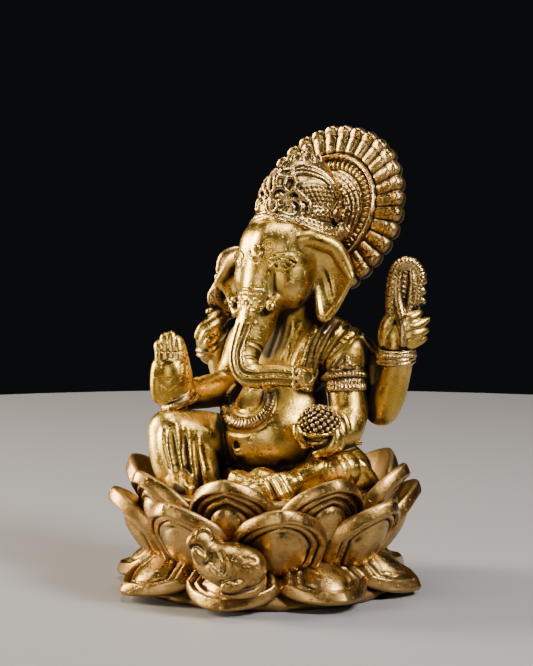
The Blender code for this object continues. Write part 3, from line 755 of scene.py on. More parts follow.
# eyes: socket, lids, ball, brow
for side in (1, -1):
    eye = body.seen(S(282, 264.5))
    if side < 0:
        eye = mirror(eye)
        eye = body.hit(eye + vec(-0.5, -1, 0) / 1.118 * 8, vec(0.5, 1, 0))
    n = body.normal(eye)[0]
    fr = axes(n, (0.75 * side, 0.66, 0.0))           # columns: along the eye, up it, out of it
    if fr[2, 1] < 0:
        fr[:, 1] *= -1
    L = lambda a, b, c=0.0, fr=fr, eye=eye: eye + fr[:, 0] * a + fr[:, 1] * b + fr[:, 2] * c
    body.deco("head", [ball(L(-0.1, 0.0, 0.18), (1.5, 0.62, 0.42), fr)], k=0.45, mode="cut")
    body.deco("head", [ball(L(0, -0.02, -0.36), (0.95, 0.62, 0.72), fr)], k=0.08)
    body.deco("head", [torus(L(0.02, 0.0, 0.36), fr[:, 2], 0.36, 0.17)], k=0.06, mode="cut")
    body.deco("head", rope([(*L(-1.7, -0.3, 0.0), 0.2), (*L(-1.0, 0.42, 0.08), 0.24), (*L(0.1, 0.74, 0.12), 0.26), (*L(1.2, 0.42, 0.08), 0.24), (*L(2.1, -0.12, 0.0), 0.18)]), k=0.12)
    body.deco("head", rope([(*L(-1.6, -0.4, -0.04), 0.18), (*L(-0.6, -0.7, 0.0), 0.2), (*L(0.6, -0.68, 0.02), 0.2), (*L(1.7, -0.3, -0.02), 0.18)]), k=0.14)
    body.deco("head", rope([(*L(-1.6, 1.0, -0.1), 0.25), (*L(-0.2, 1.5, -0.08), 0.3), (*L(1.4, 1.25, -0.1), 0.28), (*L(2.7, 0.5, -0.12), 0.22)]), k=0.4)
    for s, t in ((0.0, 2.5), (-0.35, 2.4), (-0.75, 2.1)):
        body.deco("head", [tube(L(1.7, s - 0.05, 0.24), L(t + 0.3, s * 1.6 - 0.35, 0.24), 0.2, 0.16)], k=0.1, mode="cut")

# hollow between cheek and trunk, and the sheath of the tusk
for side in (1, -1):
    m = (lambda p: np.array(p)) if side > 0 else mirror
    st = [(*body.hit(m((x, -20.0, z)), (0, 1, 0), 0.1), r) for x, z, r in ((3.15, 53.0, 0.12), (3.3, 51.0, 0.2), (3.5, 49.4, 0.18))]
    if side > 0:
        body.deco("head", rope(st), k=0.8, mode="cut")
    body.deco("tusk_left" if side > 0 else "tusk_right", [torus(m((3.95, -3.55, 47.5)), m((0.25, -0.85, -0.45)), 0.8, 0.2)], k=0.1)
    body.deco("tusk_left" if side > 0 else "tusk_right", [ball(m((4.2, -4.45, 47.15)), 0.3)], k=0.1, mode="cut")

# forehead mark: a drop in a crescent, a band across the trunk root and a rosette below it
def face(x, z, lift=0.0):
    return body.hit((x, -30.0, z), (0, 1, 0), lift)


body.deco("head", [ball(face(0.0, 56.6, 0.1), (0.62, 0.5, 0.72))], k=0.12)
body.deco("head", rope([(*face(-1.35, 56.2, 0.05), 0.12), (*face(-1.0, 55.2, 0.12), 0.22), (*face(0, 54.75, 0.12), 0.26), (*face(1.0, 55.2, 0.12), 0.22), (*face(1.35, 56.2, 0.05), 0.12)]), k=0.1)
for k_, zz in ((0, 49.9),):
    body.deco("head", rope([(*face(x, zz - 0.05 * abs(x), 0.05), 0.22) for x in (-2.2, -1.1, 0, 1.1, 2.2)]), k=0.12)
for i in range(9):
    x = -2.1 + 0.525 * i
    body.deco("head", [ball(face(x, 49.2 - 0.08 * abs(x), 0.08), 0.2)], k=0.04)
rose = face(0.0, 47.6, 0.0)
body.deco("trunk", [torus(rose, (0, -1, 0.1), 0.75, 0.17), ball(rose, (0.34, 0.34, 0.34))], k=0.08)
for i in range(8):
    a = math.pi / 4 * i
    body.deco("trunk", [ball(rose + vec(0.75 * math.cos(a), -0.05, 0.75 * math.sin(a)), 0.2)], k=0.05)
for side in (1, -1):
    for x0, z0 in ((1.3, 48.4), (1.9, 47.9), (2.3, 47.1), (1.2, 46.6)):
        body.deco("trunk", [ball(face(side * x0, z0, 0.05), 0.24)], k=0.06)
    body.deco("trunk", rope([(*face(side * 1.2, 46.3, 0.02), 0.14), (*face(side * 2.2, 46.6, 0.02), 0.16), (*face(side * 2.9, 47.6, 0.02), 0.15), (*face(side * 3.0, 48.8, 0.0), 0.13)]), k=0.08)

# folds of the shawl, fanning from the shoulder
FOLDS = [
    [(322, 322), (312, 340), (305, 358), (300, 372), (298, 382)],
    [(333, 322), (321, 341), (312, 358), (306, 373), (303, 384)],
    [(345, 325), (331, 342), (320, 359), (313, 374), (309, 386)],
    [(357, 331), (342, 345), (329, 360), (321, 374), (315, 386)],
]
base_shawl = [([S(*p) for p in line], [S(a_ + 5.2, b_ + 2.0) for a_, b_ in line[:-1]]) for line in FOLDS]
skin, body.U = body.U, bare
ridges = [body.trace(a_, [0.3, 0.5, 0.55, 0.45, 0.2], lift=0.4) for a_, b_ in base_shawl]
grooves = [body.trace(b_, [0.4, 0.5, 0.55, 0.5], lift=0.98) for a_, b_ in base_shawl]
body.U = skin
for shapes in ridges:
    body.deco("shawl", shapes, k=1.1)
for shapes in grooves:
    body.deco("shawl", shapes, k=0.35, mode="cut")

# pleated cloth on the chest, behind the trunk
for a0, a1, a2 in (((282, 320), (276, 340), (270, 356)), ((291, 320), (286, 341), (279, 359)), ((300, 324), (295, 344), (289, 362))):
    body.deco("torso", body.trace([S(*a0), S(*a1), S(*a2)], [0.4, 0.5, 0.45], lift=0.36), k=0.4, mode="cut")

# pendant plate with a fluted crescent, and the crease under it
cen = body.seen(S(249, 399))
nrm = body.normal(cen)[0]
fr = axes(nrm, RIGHT)
if fr[2, 1] < 0:
    fr[:, 1] *= -1
PEND = lambda a, b, c=0.0: cen + fr[:, 0] * a + fr[:, 1] * b + fr[:, 2] * c
plate_r = 2.3
body.deco("torso", [ball(PEND(0, 0.1, 0.1), (plate_r, 2.0, 0.5), fr)], k=0.3, mode="cut")
CRES = [(236, 386), (228, 396), (225.5, 408), (229, 417.5), (238, 423), (249, 423.5), (260, 419), (268.5, 409.5), (272, 398), (269.5, 387)]
CRES_IN = [(241, 389), (236.5, 396), (235, 403.5), (237.5, 409.5), (243, 412.5), (250, 412.5), (257, 409), (262, 402), (264, 394), (262.5, 386)]
CRES_OUT = [(231, 384), (222, 396), (219, 410), (223, 422), (235, 430), (250, 430.5), (264, 425), (274, 414), (279, 400), (276, 386)]
body.piece("necklace", body.trace([S(*p) for p in CRES], [0.45, 0.6, 0.85, 1.0, 1.05, 1.0, 0.95, 0.85, 0.7, 0.5], lift=-0.1), k=0.3, blend=0.3, pad=0.9)
cin, cout = smooth_path(CRES_IN, 8), smooth_path(CRES_OUT, 8)
for f in np.linspace(0.1, 0.86, 25):
    i0, i1 = int(f * (len(cin) - 1)), int(f * (len(cout) - 1))
    body.deco("necklace", body.trace([S(*cin[i0]), S(*((cin[i0] + cout[i1]) / 2)), S(*cout[i1])], [0.1, 0.13, 0.1], lift=0.0, per=2), k=0.1, mode="cut")
body.deco("torso", body.trace([S(*p) for p in CRES_IN], 0.13, lift=0.0), k=0.12, mode="cut")
body.deco("torso", body.trace([S(*p) for p in ((221, 425), (228, 431), (237, 433.5), (249, 433), (262, 428), (272, 420))], [0.3, 0.36, 0.4, 0.4, 0.36, 0.3], lift=0.22), k=0.3, mode="cut")
body.deco("torso", [ball(body.seen(S(236.5, 446.5)) + vec(0, 0.0, 0.1), (0.75, 0.9, 0.8))], k=0.55, mode="cut")
body.deco("torso", [ball(body.seen(S(238.5, 453.0), -0.55), (1.3, 1.0, 0.9))], k=0.7)
# waist band and lap cloth under the belly
body.deco("torso", body.trace([S(*p) for p in ((226, 466), (238, 477), (256, 482), (276, 478), (292, 468))], [0.4, 0.6, 0.7, 0.6, 0.4], lift=-0.35), k=1.0)

# folds of the cloth on the raised leg
LEG_ADD = (([(165, 430), (166.5, 446), (171, 462), (177, 482)], [0.5, 0.6, 0.55, 0.4]), ([(176, 424), (177.5, 442), (180, 462), (184, 480)], [0.5, 0.65, 0.6, 0.4]),
           ([(188, 430), (189, 450), (192, 470), (194, 486)], [0.3, 0.5, 0.5, 0.4]), ([(199, 438), (200, 454), (203, 470), (204, 486)], [0.3, 0.4, 0.45, 0.35]),
           )
LEG_CUT = ([(171, 434), (172.5, 450), (176, 466), (180, 482)], [(183, 434), (184, 450), (187, 468), (190, 484)], [(194.5, 444), (195.5, 458), (198, 472), (200, 486)])
leg_add = [body.trace([S(*p) for p in line], r, lift=-0.22) for line, r in LEG_ADD]
leg_cut = [body.trace([S(*p) for p in line], [0.4] + [0.55] * (len(line) - 2) + [0.55], lift=0.5) for line in LEG_CUT]
for shapes in leg_add:
    body.deco("right_leg", shapes, k=1.2)
for shapes in leg_cut:
    body.deco("right_leg", shapes, k=0.4, mode="cut")
# far side of the raised leg: matching long folds
for x0, y0 in ((-15.4, -9.0), (-14.6, -5.5), (-13.2, -2.0)):
    pts = [body.hit((x0 - 12, y0 - 0.4 * i, 26.0 - 1.8 * i), (1, 0, 0), 0.05) for i in range(5)]
    body.deco("right_leg", [tube(a, b, 0.5, 0.5) for a, b in zip(pts, pts[1:])], k=0.7)

# pleats of the hem between the feet
for line in ([(270, 477), (276, 487), (282, 499)], [(277, 475), (283, 484), (289, 496)], [(263, 480), (268, 490), (273, 502)]):
    body.deco("dhoti_pleats", body.trace([S(*p) for p in line], [0.3, 0.42, 0.4], lift=-0.05), k=0.45)
# folds across the folded leg
body.deco("left_leg", body.trace([S(*p) for p in ((297, 482), (309, 472), (322, 464))], [1.3, 1.7, 1.5], lift=-0.9), k=0.6)
body.deco("left_leg", [ball(body.seen(S(347, 467), -1.5), (2.9, 2.7, 2.9))], k=0.6)
for line in ([(327, 456), (327, 468), (330, 484)], [(341, 456), (347, 466), (352, 484)]):
    body.deco("left_leg", body.trace([S(*p) for p in line], [0.4, 0.45, 0.4], lift=0.24), k=0.3, mode="cut")
body.deco("left_leg", body.trace([S(*p) for p in ((361, 462), (370, 474), (378, 486))], [0.6, 0.8, 0.7], lift=-0.2), k=0.8)


# ------------------------------------------------------------------ front left hand and its dish of sweets
palm = Field((6.5, -11.5, 17.5), (20.5, 6.5, 34.5), 0.12, 0.21)
DW = 3.0
DISH = at(318, 437, 5.0 + DW)
palm.piece("front_left_hand", [
    ball(DISH + vec(0.2, 0.6, 0.0), (3.2, 3.0, 1.7)),
    *rope([(13.6, 0.6, 26.0, 2.2), (13.5, -1.2, 25.0, 2.0), (*(DISH + vec(1.2, 1.2, -0.4)), 1.7)]),
    # fingers curling up round the far side
    *rope([A(335, 446, 7.2, 0.95), A(343, 438, 7.4, 1.0), A(346, 427, 7.4, 0.95), A(343, 416, 7.2, 0.7)]),
    *rope([A(328, 450, 8.2, 0.9), A(338, 445, 9.0, 1.0), A(342, 434, 9.2, 0.95), A(340, 423, 9.0, 0.7)]),
    *rope([A(318, 453, 9.0, 0.85), A(330, 449, 10.2, 0.95), A(336, 440, 10.4, 0.9), A(336, 430, 10.2, 0.65)]),
    *rope([A(306, 444, 9.0, 0.8), A(300, 436, 10.0, 0.85), A(297, 427, 10.0, 0.6)]),
    *rope([A(346, 440, 6.6, 0.7), A(353, 441, 6.0, 0.55), A(361, 443, 5.6, 0.3)]),
    *rope([A(350, 425, 6.6, 0.42), A(355, 425, 6.4, 0.22)]),
], k=0.45)
bowl = at(318, 436, 9.0)
palm.deco("front_left_hand", [torus(bowl + vec(0, 0, 1.0), (0.1, -0.15, 1), 2.75, 0.34)], k=0.25)
palm.deco("front_left_hand", [torus(bowl + vec(0, 0, -0.6), (0.1, -0.15, 1), 1.7, 0.3)], k=0.25)
for i in range(7):
    a = math.radians(200 + 22 * i)
    c = bowl + RIGHT * (2.1 * math.cos(a) * 0.95) + vec(0, -1, 0) * 0.6 + vec(0, 0, -1.7 + 0.25 * abs(math.sin(a)))
    palm.deco("front_left_hand", [ball(c - RIGHT * 0.2, 0.36)], k=0.08)
for i in range(5):
    palm.deco("front_left_hand", [ball(at(321 + 2.4 * i, 453.5 - 0.4 * i, 10.0), 0.33)], k=0.08)
for i in range(16):
    a = math.radians(150 + 15 * i)
    c = bowl + vec(0, 0, 0.1) + RIGHT * (2.6 * math.cos(a)) + np.cross(vec(0, 0, 1), RIGHT) * (2.6 * math.sin(a))
    palm.deco("front_left_hand", [tube(c + vec(0, 0, 0.55), c * 0.5 + (bowl + vec(0, 0, -0.75)) * 0.5 + vec(0, 0, -0.1), 0.17, 0.12)], k=0.08)

sweets = Field((7.0, -8.0, 22.5), (18.5, 5.0, 34.0), 0.1, 0.155)
HEAP = at(320.5, 424, 8.6)
heap_r = vec(3.5, 3.2, 2.9)
sweets.piece("sweets", [ball(HEAP, heap_r * 0.87)], k=0.3)
n_pts = 122
for i in range(n_pts):
    zz = 1 - 1.45 * (i + 0.5) / n_pts
    ph = i * 2.399963
    rr = math.sqrt(1 - zz * zz)
    p = HEAP + vec(rr * math.cos(ph), rr * math.sin(ph), zz) * heap_r * rng.uniform(0.965, 1.01)
    sweets.deco("sweets", [ball(p, 0.37 + 0.06 * rng.random())], k=0.02, pad=0.5)

# ------------------------------------------------------------------ front right hand, raised palm out
blessing = Field((-20.5, -12.5, 25.5), (-7.5, 1.0, 45.0), 0.11, 0.19)
HW = 0.8   # depth of the hand's middle


def hand_chain(field, name, fingers, k=0.35):
    for f in fingers:
        field.piece(name, rope(f, 4), k=k) if name not in field.parts else field.deco(name, rope(f, 4), k=k, pad=1.0)


W0 = -3.2
blessing.piece("front_right_hand", [
    ball(at(170, 381, W0), (2.3, 2.0, 3.6)),
    *rope([A(170, 398, W0, 2.2), A(171, 384, W0 + 0.2, 2.5), A(170, 370, W0 + 0.4, 2.4)], flat=(0.35, -0.93, 0.0), squash=0.72),
    *rope([A(176, 402, W0, 2.1), A(178, 388, W0 - 0.4, 2.1), A(178, 372, W0, 1.9)], flat=(0.35, -0.93, 0.0), squash=0.8),
    *rope([A(163, 392, W0, 1.8), A(163, 378, W0, 1.9), A(163, 366, W0, 1.7)], flat=(0.35, -0.93, 0.0), squash=0.75),
], k=0.8)
for i, (x0, x1, top, rr) in enumerate(((161.0, 159.6, 340.5, 0.98), (167.2, 165.8, 333.5, 1.02), (172.9, 172.0, 331.8, 1.0), (178.6, 177.6, 336.0, 0.95))):
    blessing.deco("front_right_hand", rope([A(x0 + 0.6, 377, W0 - 0.2, rr * 0.9), A(x0 + 0.2, 365, W0 + 0.3 + 0.1 * i, rr), A(x0, 352, W0 + 0.5, rr * 0.97), A(x1, top + 5.5, W0 + 0.3, rr * 0.86),
                                            A(x1, top + 2.5, W0 + 0.1, rr * 0.62)]), k=0.22, pad=1.0)
    for yy in (352.5, 364.0):
        p = at(x0, yy, W0 + 0.4)
        blessing.deco("front_right_hand", [torus(p, at(x1, top, W0) - p, rr + 0.06, 0.09)], k=0.12, mode="cut")
# thumb side and the joined edge
blessing.deco("front_right_hand", rope([A(184, 398, W0 - 0.8, 1.25), A(186, 382, W0 - 0.5, 1.25), A(184, 366, W0 - 0.2, 1.1), A(181.5, 350, W0, 0.9), A(180, 340, W0, 0.6)]), k=0.35, pad=1.0)
blessing.deco("front_right_hand", rope([A(159, 396, W0, 1.2), A(158.6, 382, W0 + 0.1, 1.25), A(158.8, 368, W0 + 0.1, 1.0)]), k=0.4, pad=1.0)
# creases on the palm
for line in ([(161, 376), (167, 379), (175, 377)], [(163, 386), (170, 388), (178, 384)], [(181, 352), (182, 366), (181, 380)], [(186.5, 356), (187.5, 370), (187, 384)]):
    blessing.deco("front_right_hand", blessing.trace([S(*p) for p in line], [0.1, 0.2, 0.12], lift=0.05), k=0.18, mode="cut")
blessing.piece("front_right_bangle", [*rope([A(165, 408, W0 + 0.6, 0.5), A(174, 407, W0 + 2.0, 0.62), A(184, 402, W0 + 2.0, 0.62), A(190, 392, W0 + 0.6, 0.55), A(192, 383, W0 - 1.4, 0.45)]),
                                      torus(at(178.5, 396, W0 - 0.9), at(163, 352, W0) - at(182, 404, W0 - 1.5), 2.75, 0.42),
                                      torus(at(182.5, 402, W0 - 1.4), at(163, 352, W0) - at(182, 404, W0 - 1.5), 2.9, 0.42)], k=0.12, blend=0.05)
for i in range(26):
    a = 2 * math.pi * i / 26
    fr_b = axes(at(163, 352, W0) - at(182, 404, W0 - 1.5), RIGHT)
    c = at(180.5, 399, W0 - 1.15) + fr_b[:, 0] * 2.95 * math.cos(a) + fr_b[:, 1] * 2.95 * math.sin(a)
    blessing.deco("front_right_bangle", [ball(c, 0.33)], k=0.05, pad=0.5)

# ------------------------------------------------------------------ rear right hand and axe
axe_f = Field((-27.0, 4.5, 30.5), (-9.5, 19.5, 58.5), 0.125, 0.21)
WR = -21.0
axe_f.piece("rear_right_hand", [
    *rope([A(211, 353, WR + 0.6, 2.0), A(210, 342, WR + 0.6, 2.15), A(211, 331, WR + 0.4, 1.9)]),
    ball(at(209, 341, WR + 1.4), (2.3, 2.0, 1.9)),
    *rope([A(218, 315, WR + 0.6, 1.1), A(212, 322, WR + 2.0, 1.1), A(203, 329, WR + 2.6, 0.92), A(197.5, 336.5, WR + 2.4, 0.5)]),
    *rope([A(222, 320, WR + 0.6, 1.0), A(217, 327, WR + 2.4, 1.15), A(208, 334, WR + 3.2, 1.0), A(202, 341, WR + 2.8, 0.55)]),
    *rope([A(223, 328, WR + 0.6, 1.0), A(219, 334, WR + 2.4, 1.1), A(211, 341, WR + 3.4, 1.0), A(206, 346, WR + 2.8, 0.6)]),
    *rope([A(222, 337, WR + 0.2, 0.9), A(218, 342, WR + 2.0, 1.0), A(213, 348, WR + 2.8, 0.8)]),
    ball(at(211, 311.5, WR + 1.2), (0.85, 0.85, 0.7)),
], k=0.3)
axe_f.piece("axe", [
    # head: one broad rounded blade
    ball(at(233, 268, WR - 0.2), (2.1, 1.3, 2.9)),
    *rope([A(226, 279, WR, 1.25), A(231, 266, WR, 2.0), A(238, 257, WR, 1.6)], flat=BACK, squash=0.55),
    *rope([A(222, 270, WR, 1.0), A(228, 259, WR, 1.5), A(238, 253, WR, 1.2), A(243, 258, WR, 1.1), A(242, 270, WR, 1.2), A(236, 281, WR, 1.0)], flat=BACK, squash=0.6),
    ball(at(219, 277, WR + 0.3), (0.75, 0.75, 0.75)),
    # curl below it, and the shaft through the hand
    *rope([A(232, 281, WR + 0.1, 0.75), A(226, 280.5, WR + 0.3, 0.8), A(219.5, 284, WR + 0.4, 0.85), A(216.5, 291, WR + 0.4, 0.9), A(217.5, 299, WR + 0.3, 0.9), A(221, 306, WR + 0.2, 0.85)]),
    *rope([A(213.5, 290, WR + 0.4, 0.55), A(211.5, 297, WR + 0.3, 0.6), A(213, 303, WR + 0.3, 0.6), A(218, 308, WR + 0.2, 0.6)]),
    *rope([A(236, 279, WR - 0.2, 0.8), A(236.5, 288, WR - 0.3, 0.85), A(232, 296, WR - 0.3, 1.0), A(227, 303, WR - 0.2, 1.05), A(222, 318, WR - 0.2, 1.0), A(221, 338, WR - 0.5, 0.95)]),
    *rope([A(237, 300, WR - 0.2, 0.6), A(236.5, 307, WR - 0.2, 0.7), A(232, 312, WR - 0.2, 0.7), A(226, 318, WR - 0.2, 0.6)]),
], k=0.35, blend=0.05)
for c_, r_ in (((237, 310.5), 0.62), ((233, 315.5), 0.5), ((240, 305), 0.45), ((229, 310), 0.5)):
    axe_f.deco("axe", [ball(at(*c_, WR + 0.5), r_)], k=0.08)
for a0 in range(5):
    axe_f.deco("axe", rope([A(226 + 2.6 * a0, 285 - 1.1 * a0, WR + 0.65, 0.1), A(227.5 + 2.6 * a0, 279 - 1.4 * a0, WR + 0.8, 0.12)], 1), k=0.08, mode="cut")
for line, r in (([(224, 273), (229, 263), (236, 256.5), (241.5, 259)], 0.16), ([(230, 276), (236, 270), (239, 262)], 0.14)):
    axe_f.deco("axe", axe_f.trace([S(*p) for p in line], r, lift=0.02), k=0.14, mode="cut")
axe_f.piece("rear_right_wrist", [torus(at(211.5, 351, WR + 0.2), (0.12, 0.05, 1), 2.25, 0.5), torus(at(211.8, 355.5, WR + 0.1), (0.12, 0.05, 1), 2.25, 0.42)], k=0.1, blend=0.1)

# ------------------------------------------------------------------ rear left hand, bangle and noose
loop = Field((14.0, 4.0, 30.5), (28.5, 19.5, 60.5), 0.115, 0.19)
WL = 4.0
loop.piece("rear_left_hand", [
    *rope([A(397, 352, WL, 2.1), A(398, 343, WL, 2.25), A(399, 333, WL, 2.2)]),
    ball(at(396, 338, WL + 0.1), (2.3, 2.1, 2.5)),
    *rope([A(388, 348, WL - 0.4, 1.2), A(386.5, 338, WL, 1.35), A(388, 326, WL + 0.4, 1.3), A(394, 317, WL + 0.6, 1.15), A(400, 314, WL + 0.4, 0.9)]),
    # folded fingers to the pointed tips
    *rope([A(404, 346, WL + 1.2, 0.9), A(411, 343, WL + 1.7, 1.0), A(420, 340, WL + 1.6, 0.72), A(426, 338, WL + 1.4, 0.32)]),
    *rope([A(404, 339, WL + 1.4, 1.0), A(412, 336, WL + 2.2, 1.1), A(421, 332, WL + 2.0, 0.8), A(428, 330, WL + 1.6, 0.34)]),
    *rope([A(403, 331, WL + 1.4, 1.0), A(411, 328, WL + 2.3, 1.15), A(420, 324, WL + 2.0, 0.85), A(428.5, 319, WL + 1.6, 0.36)]),
    *rope([A(402, 322, WL + 1.0, 0.9), A(409, 319, WL + 2.0, 1.05), A(416, 315.5, WL + 1.8, 0.8), A(421, 312, WL + 1.4, 0.4)]),
], k=0.3)
for yy in (323.5, 331.5, 339.5):
    loop.deco("rear_left_hand", loop.trace([S(402, yy + 2), S(410, yy), S(419, yy - 2.5)], 0.16, lift=0.0), k=0.12, mode="cut")
for k_, (yy, rr) in enumerate(((349.2, 0.33), (352.6, 0.38), (356.4, 0.4), (360.4, 0.36))):
    loop.piece("rear_left_bangle", [torus(at(397.3 - 0.35 * k_, yy, WL - 0.1), (0.06, -0.12, 1), 2.85, rr)], k=0.06, blend=0.04) if k_ == 0 else \
        loop.deco("rear_left_bangle", [torus(at(397.3 - 0.35 * k_, yy, WL - 0.1), (0.06, -0.12, 1), 2.85 + 0.05 * k_, rr)], k=0.06)
for i in range(34):
    a = 2 * math.pi * i / 34
    loop.deco("rear_left_bangle", [ball(at(396.9, 354.6, WL - 0.1) + vec(3.15 * math.cos(a), 3.15 * math.sin(a), -0.35 * math.cos(a) * 0), 0.27)], k=0.05, pad=0.5)
loop.deco("rear_left_bangle", [torus(at(397.0, 354.8, WL - 0.1), (0.06, -0.12, 1), 2.55, 0.62)], k=0.1)

OUTER = [(389, 316), (387.6, 302), (387.8, 288), (391, 272), (397, 262), (406, 257.4), (415, 259.5), (422.5, 267), (425.6, 276), (423.4, 286), (421.6, 296), (419, 306), (410, 313)]
oval = smooth_path([(*p,) for p in OUTER + [OUTER[0]]], 6)


def oval_point(i, inset=0.0, out=0.0):
    p = oval[i % (len(oval) - 1)]
    c = np.array([406.0, 287.0])
    d = c - p
    q = p + d / (np.linalg.norm(d) + 1e-9) * inset
    return at(q[0], q[1], WL + 0.6 + out)


m_ = len(oval) - 1
loop.piece("noose", [tube(oval_point(i, 4.6), oval_point(i + 1, 4.6), 0.85) for i in range(m_)], k=0.15, blend=0.05)
for i in range(m_):
    loop.deco("noose", [tube(oval_point(i, 9.5, -0.1), oval_point(i + 1, 9.5, -0.1), 0.75)], k=0.12)
# inner rope down into the hand, and the recessed web
loop.deco("noose", rope([A(401, 268, WL + 0.7, 0.7), A(398, 282, WL + 0.9, 0.8), A(398, 300, WL + 1.0, 0.9), A(402, 318, WL + 1.7, 0.95), A(404, 330, WL + 2.4, 0.85), A(403, 344, WL + 2.6, 0.6)]), k=0.12)
loop.deco("noose", rope([A(412, 270, WL + 0.7, 0.65), A(413, 284, WL + 0.9, 0.75), A(411, 300, WL + 1.0, 0.75), A(408, 314, WL + 1.4, 0.7)]), k=0.12)
web_pts = [A(405.5, y, WL + 0.25, 1.55) for y in (268, 278, 288, 298, 306)]
loop.deco("noose", rope(web_pts, 3, flat=BACK, squash=0.4), k=0.15)
for i in range(m_):
    # twisted strands round the border
    for s in (0.0, math.pi):
        t = i / m_ * 2 * math.pi * 15 + s
        t2 = (i + 1) / m_ * 2 * math.pi * 15 + s
        pts = []
        for j in range(5):
            f = j / 4
            tt = t + (t2 - t) * f
            base = oval_point(i, 4.6) * (1 - f) + oval_point(i + 1, 4.6) * f
            inn = oval_point(i, 9.0) * (1 - f) + oval_point(i + 1, 9.0) * f
            side = (inn - base) / (np.linalg.norm(inn - base) + 1e-9)
            pts.append(base + side * 0.62 * math.cos(tt) + BACK * 0.62 * math.sin(tt))
        loop.deco("noose", [tube(a, b, 0.42) for a, b in zip(pts, pts[1:])], k=0.05, pad=0.45)
for c_, r_ in (((422.5, 291), 0.75), ((422.5, 301), 0.7), ((424.5, 281), 0.55), ((417.5, 309), 0.6)):
    loop.deco("noose", [ball(at(*c_, WL + 0.7), r_)], k=0.08)
for i in range(7):
    loop.deco("noose", [tube(at(400.5, 270 + 5.2 * i, WL + 0.9), at(408.5, 273 + 5.2 * i, WL + 0.9), 0.14)], k=0.08)


# ------------------------------------------------------------------ lotus
def curve3(ctrl, t):
    """Point of a cubic Bezier, for an array t."""
    p = np.array(ctrl, float)
    t = np.asarray(t)[..., None]
    return (1 - t) ** 3 * p[0] + 3 * (1 - t) ** 2 * t * p[1] + 3 * (1 - t) * t * t * p[2] + t ** 3 * p[3]


def steps(a, b, x):
    t = np.clip((x - a) / (b - a), 0, 1)
    return t * t * (3 - 2 * t)


def waves(seed, n, lo, hi):
    """A smooth random function of two or three coordinates: a sum of plane waves."""
    g = np.random.default_rng(seed)
    k = g.normal(size=(n, 3))
    k *= (g.uniform(lo, hi, n) / np.linalg.norm(k, axis=1))[:, None]
    ph = g.uniform(0, 2 * math.pi, n)
    amp = g.uniform(0.5, 1.0, n)

    def fn(p):
        return (np.sin(p @ k.T + ph) * amp).sum(-1) / math.sqrt((amp ** 2).sum() / 2 + 1e-9) * 0.5

    return fn


PETALS = {
    "outer": dict(line=[(17.4, 6.3), (20.6, 9.6), (22.8, 15.2), (25.8, 17.0)], half=8.5, root=0.74, thick=1.5, arch=1.3),
    "inner": dict(line=[(17.4, 9.4), (19.8, 13.4), (21.2, 19.2), (24.0, 21.1)], half=8.0, root=0.72, thick=1.4, arch=1.1),
    "lower": dict(line=[(17.0, 6.2), (20.2, 4.4), (22.4, 0.9), (26.2, 1.9)], half=8.6, root=0.72, thick=1.3, arch=1.0),
}


def petal_width(t, root):
    tau = np.clip((t - 0.32) / 0.68, 0, 1)
    up = root + (1 - root) * np.sin(np.clip(t / 0.32, 0, 1) * math.pi / 2)
    return np.where(t < 0.32, up, (1 - tau ** 2.0) ** 0.72)


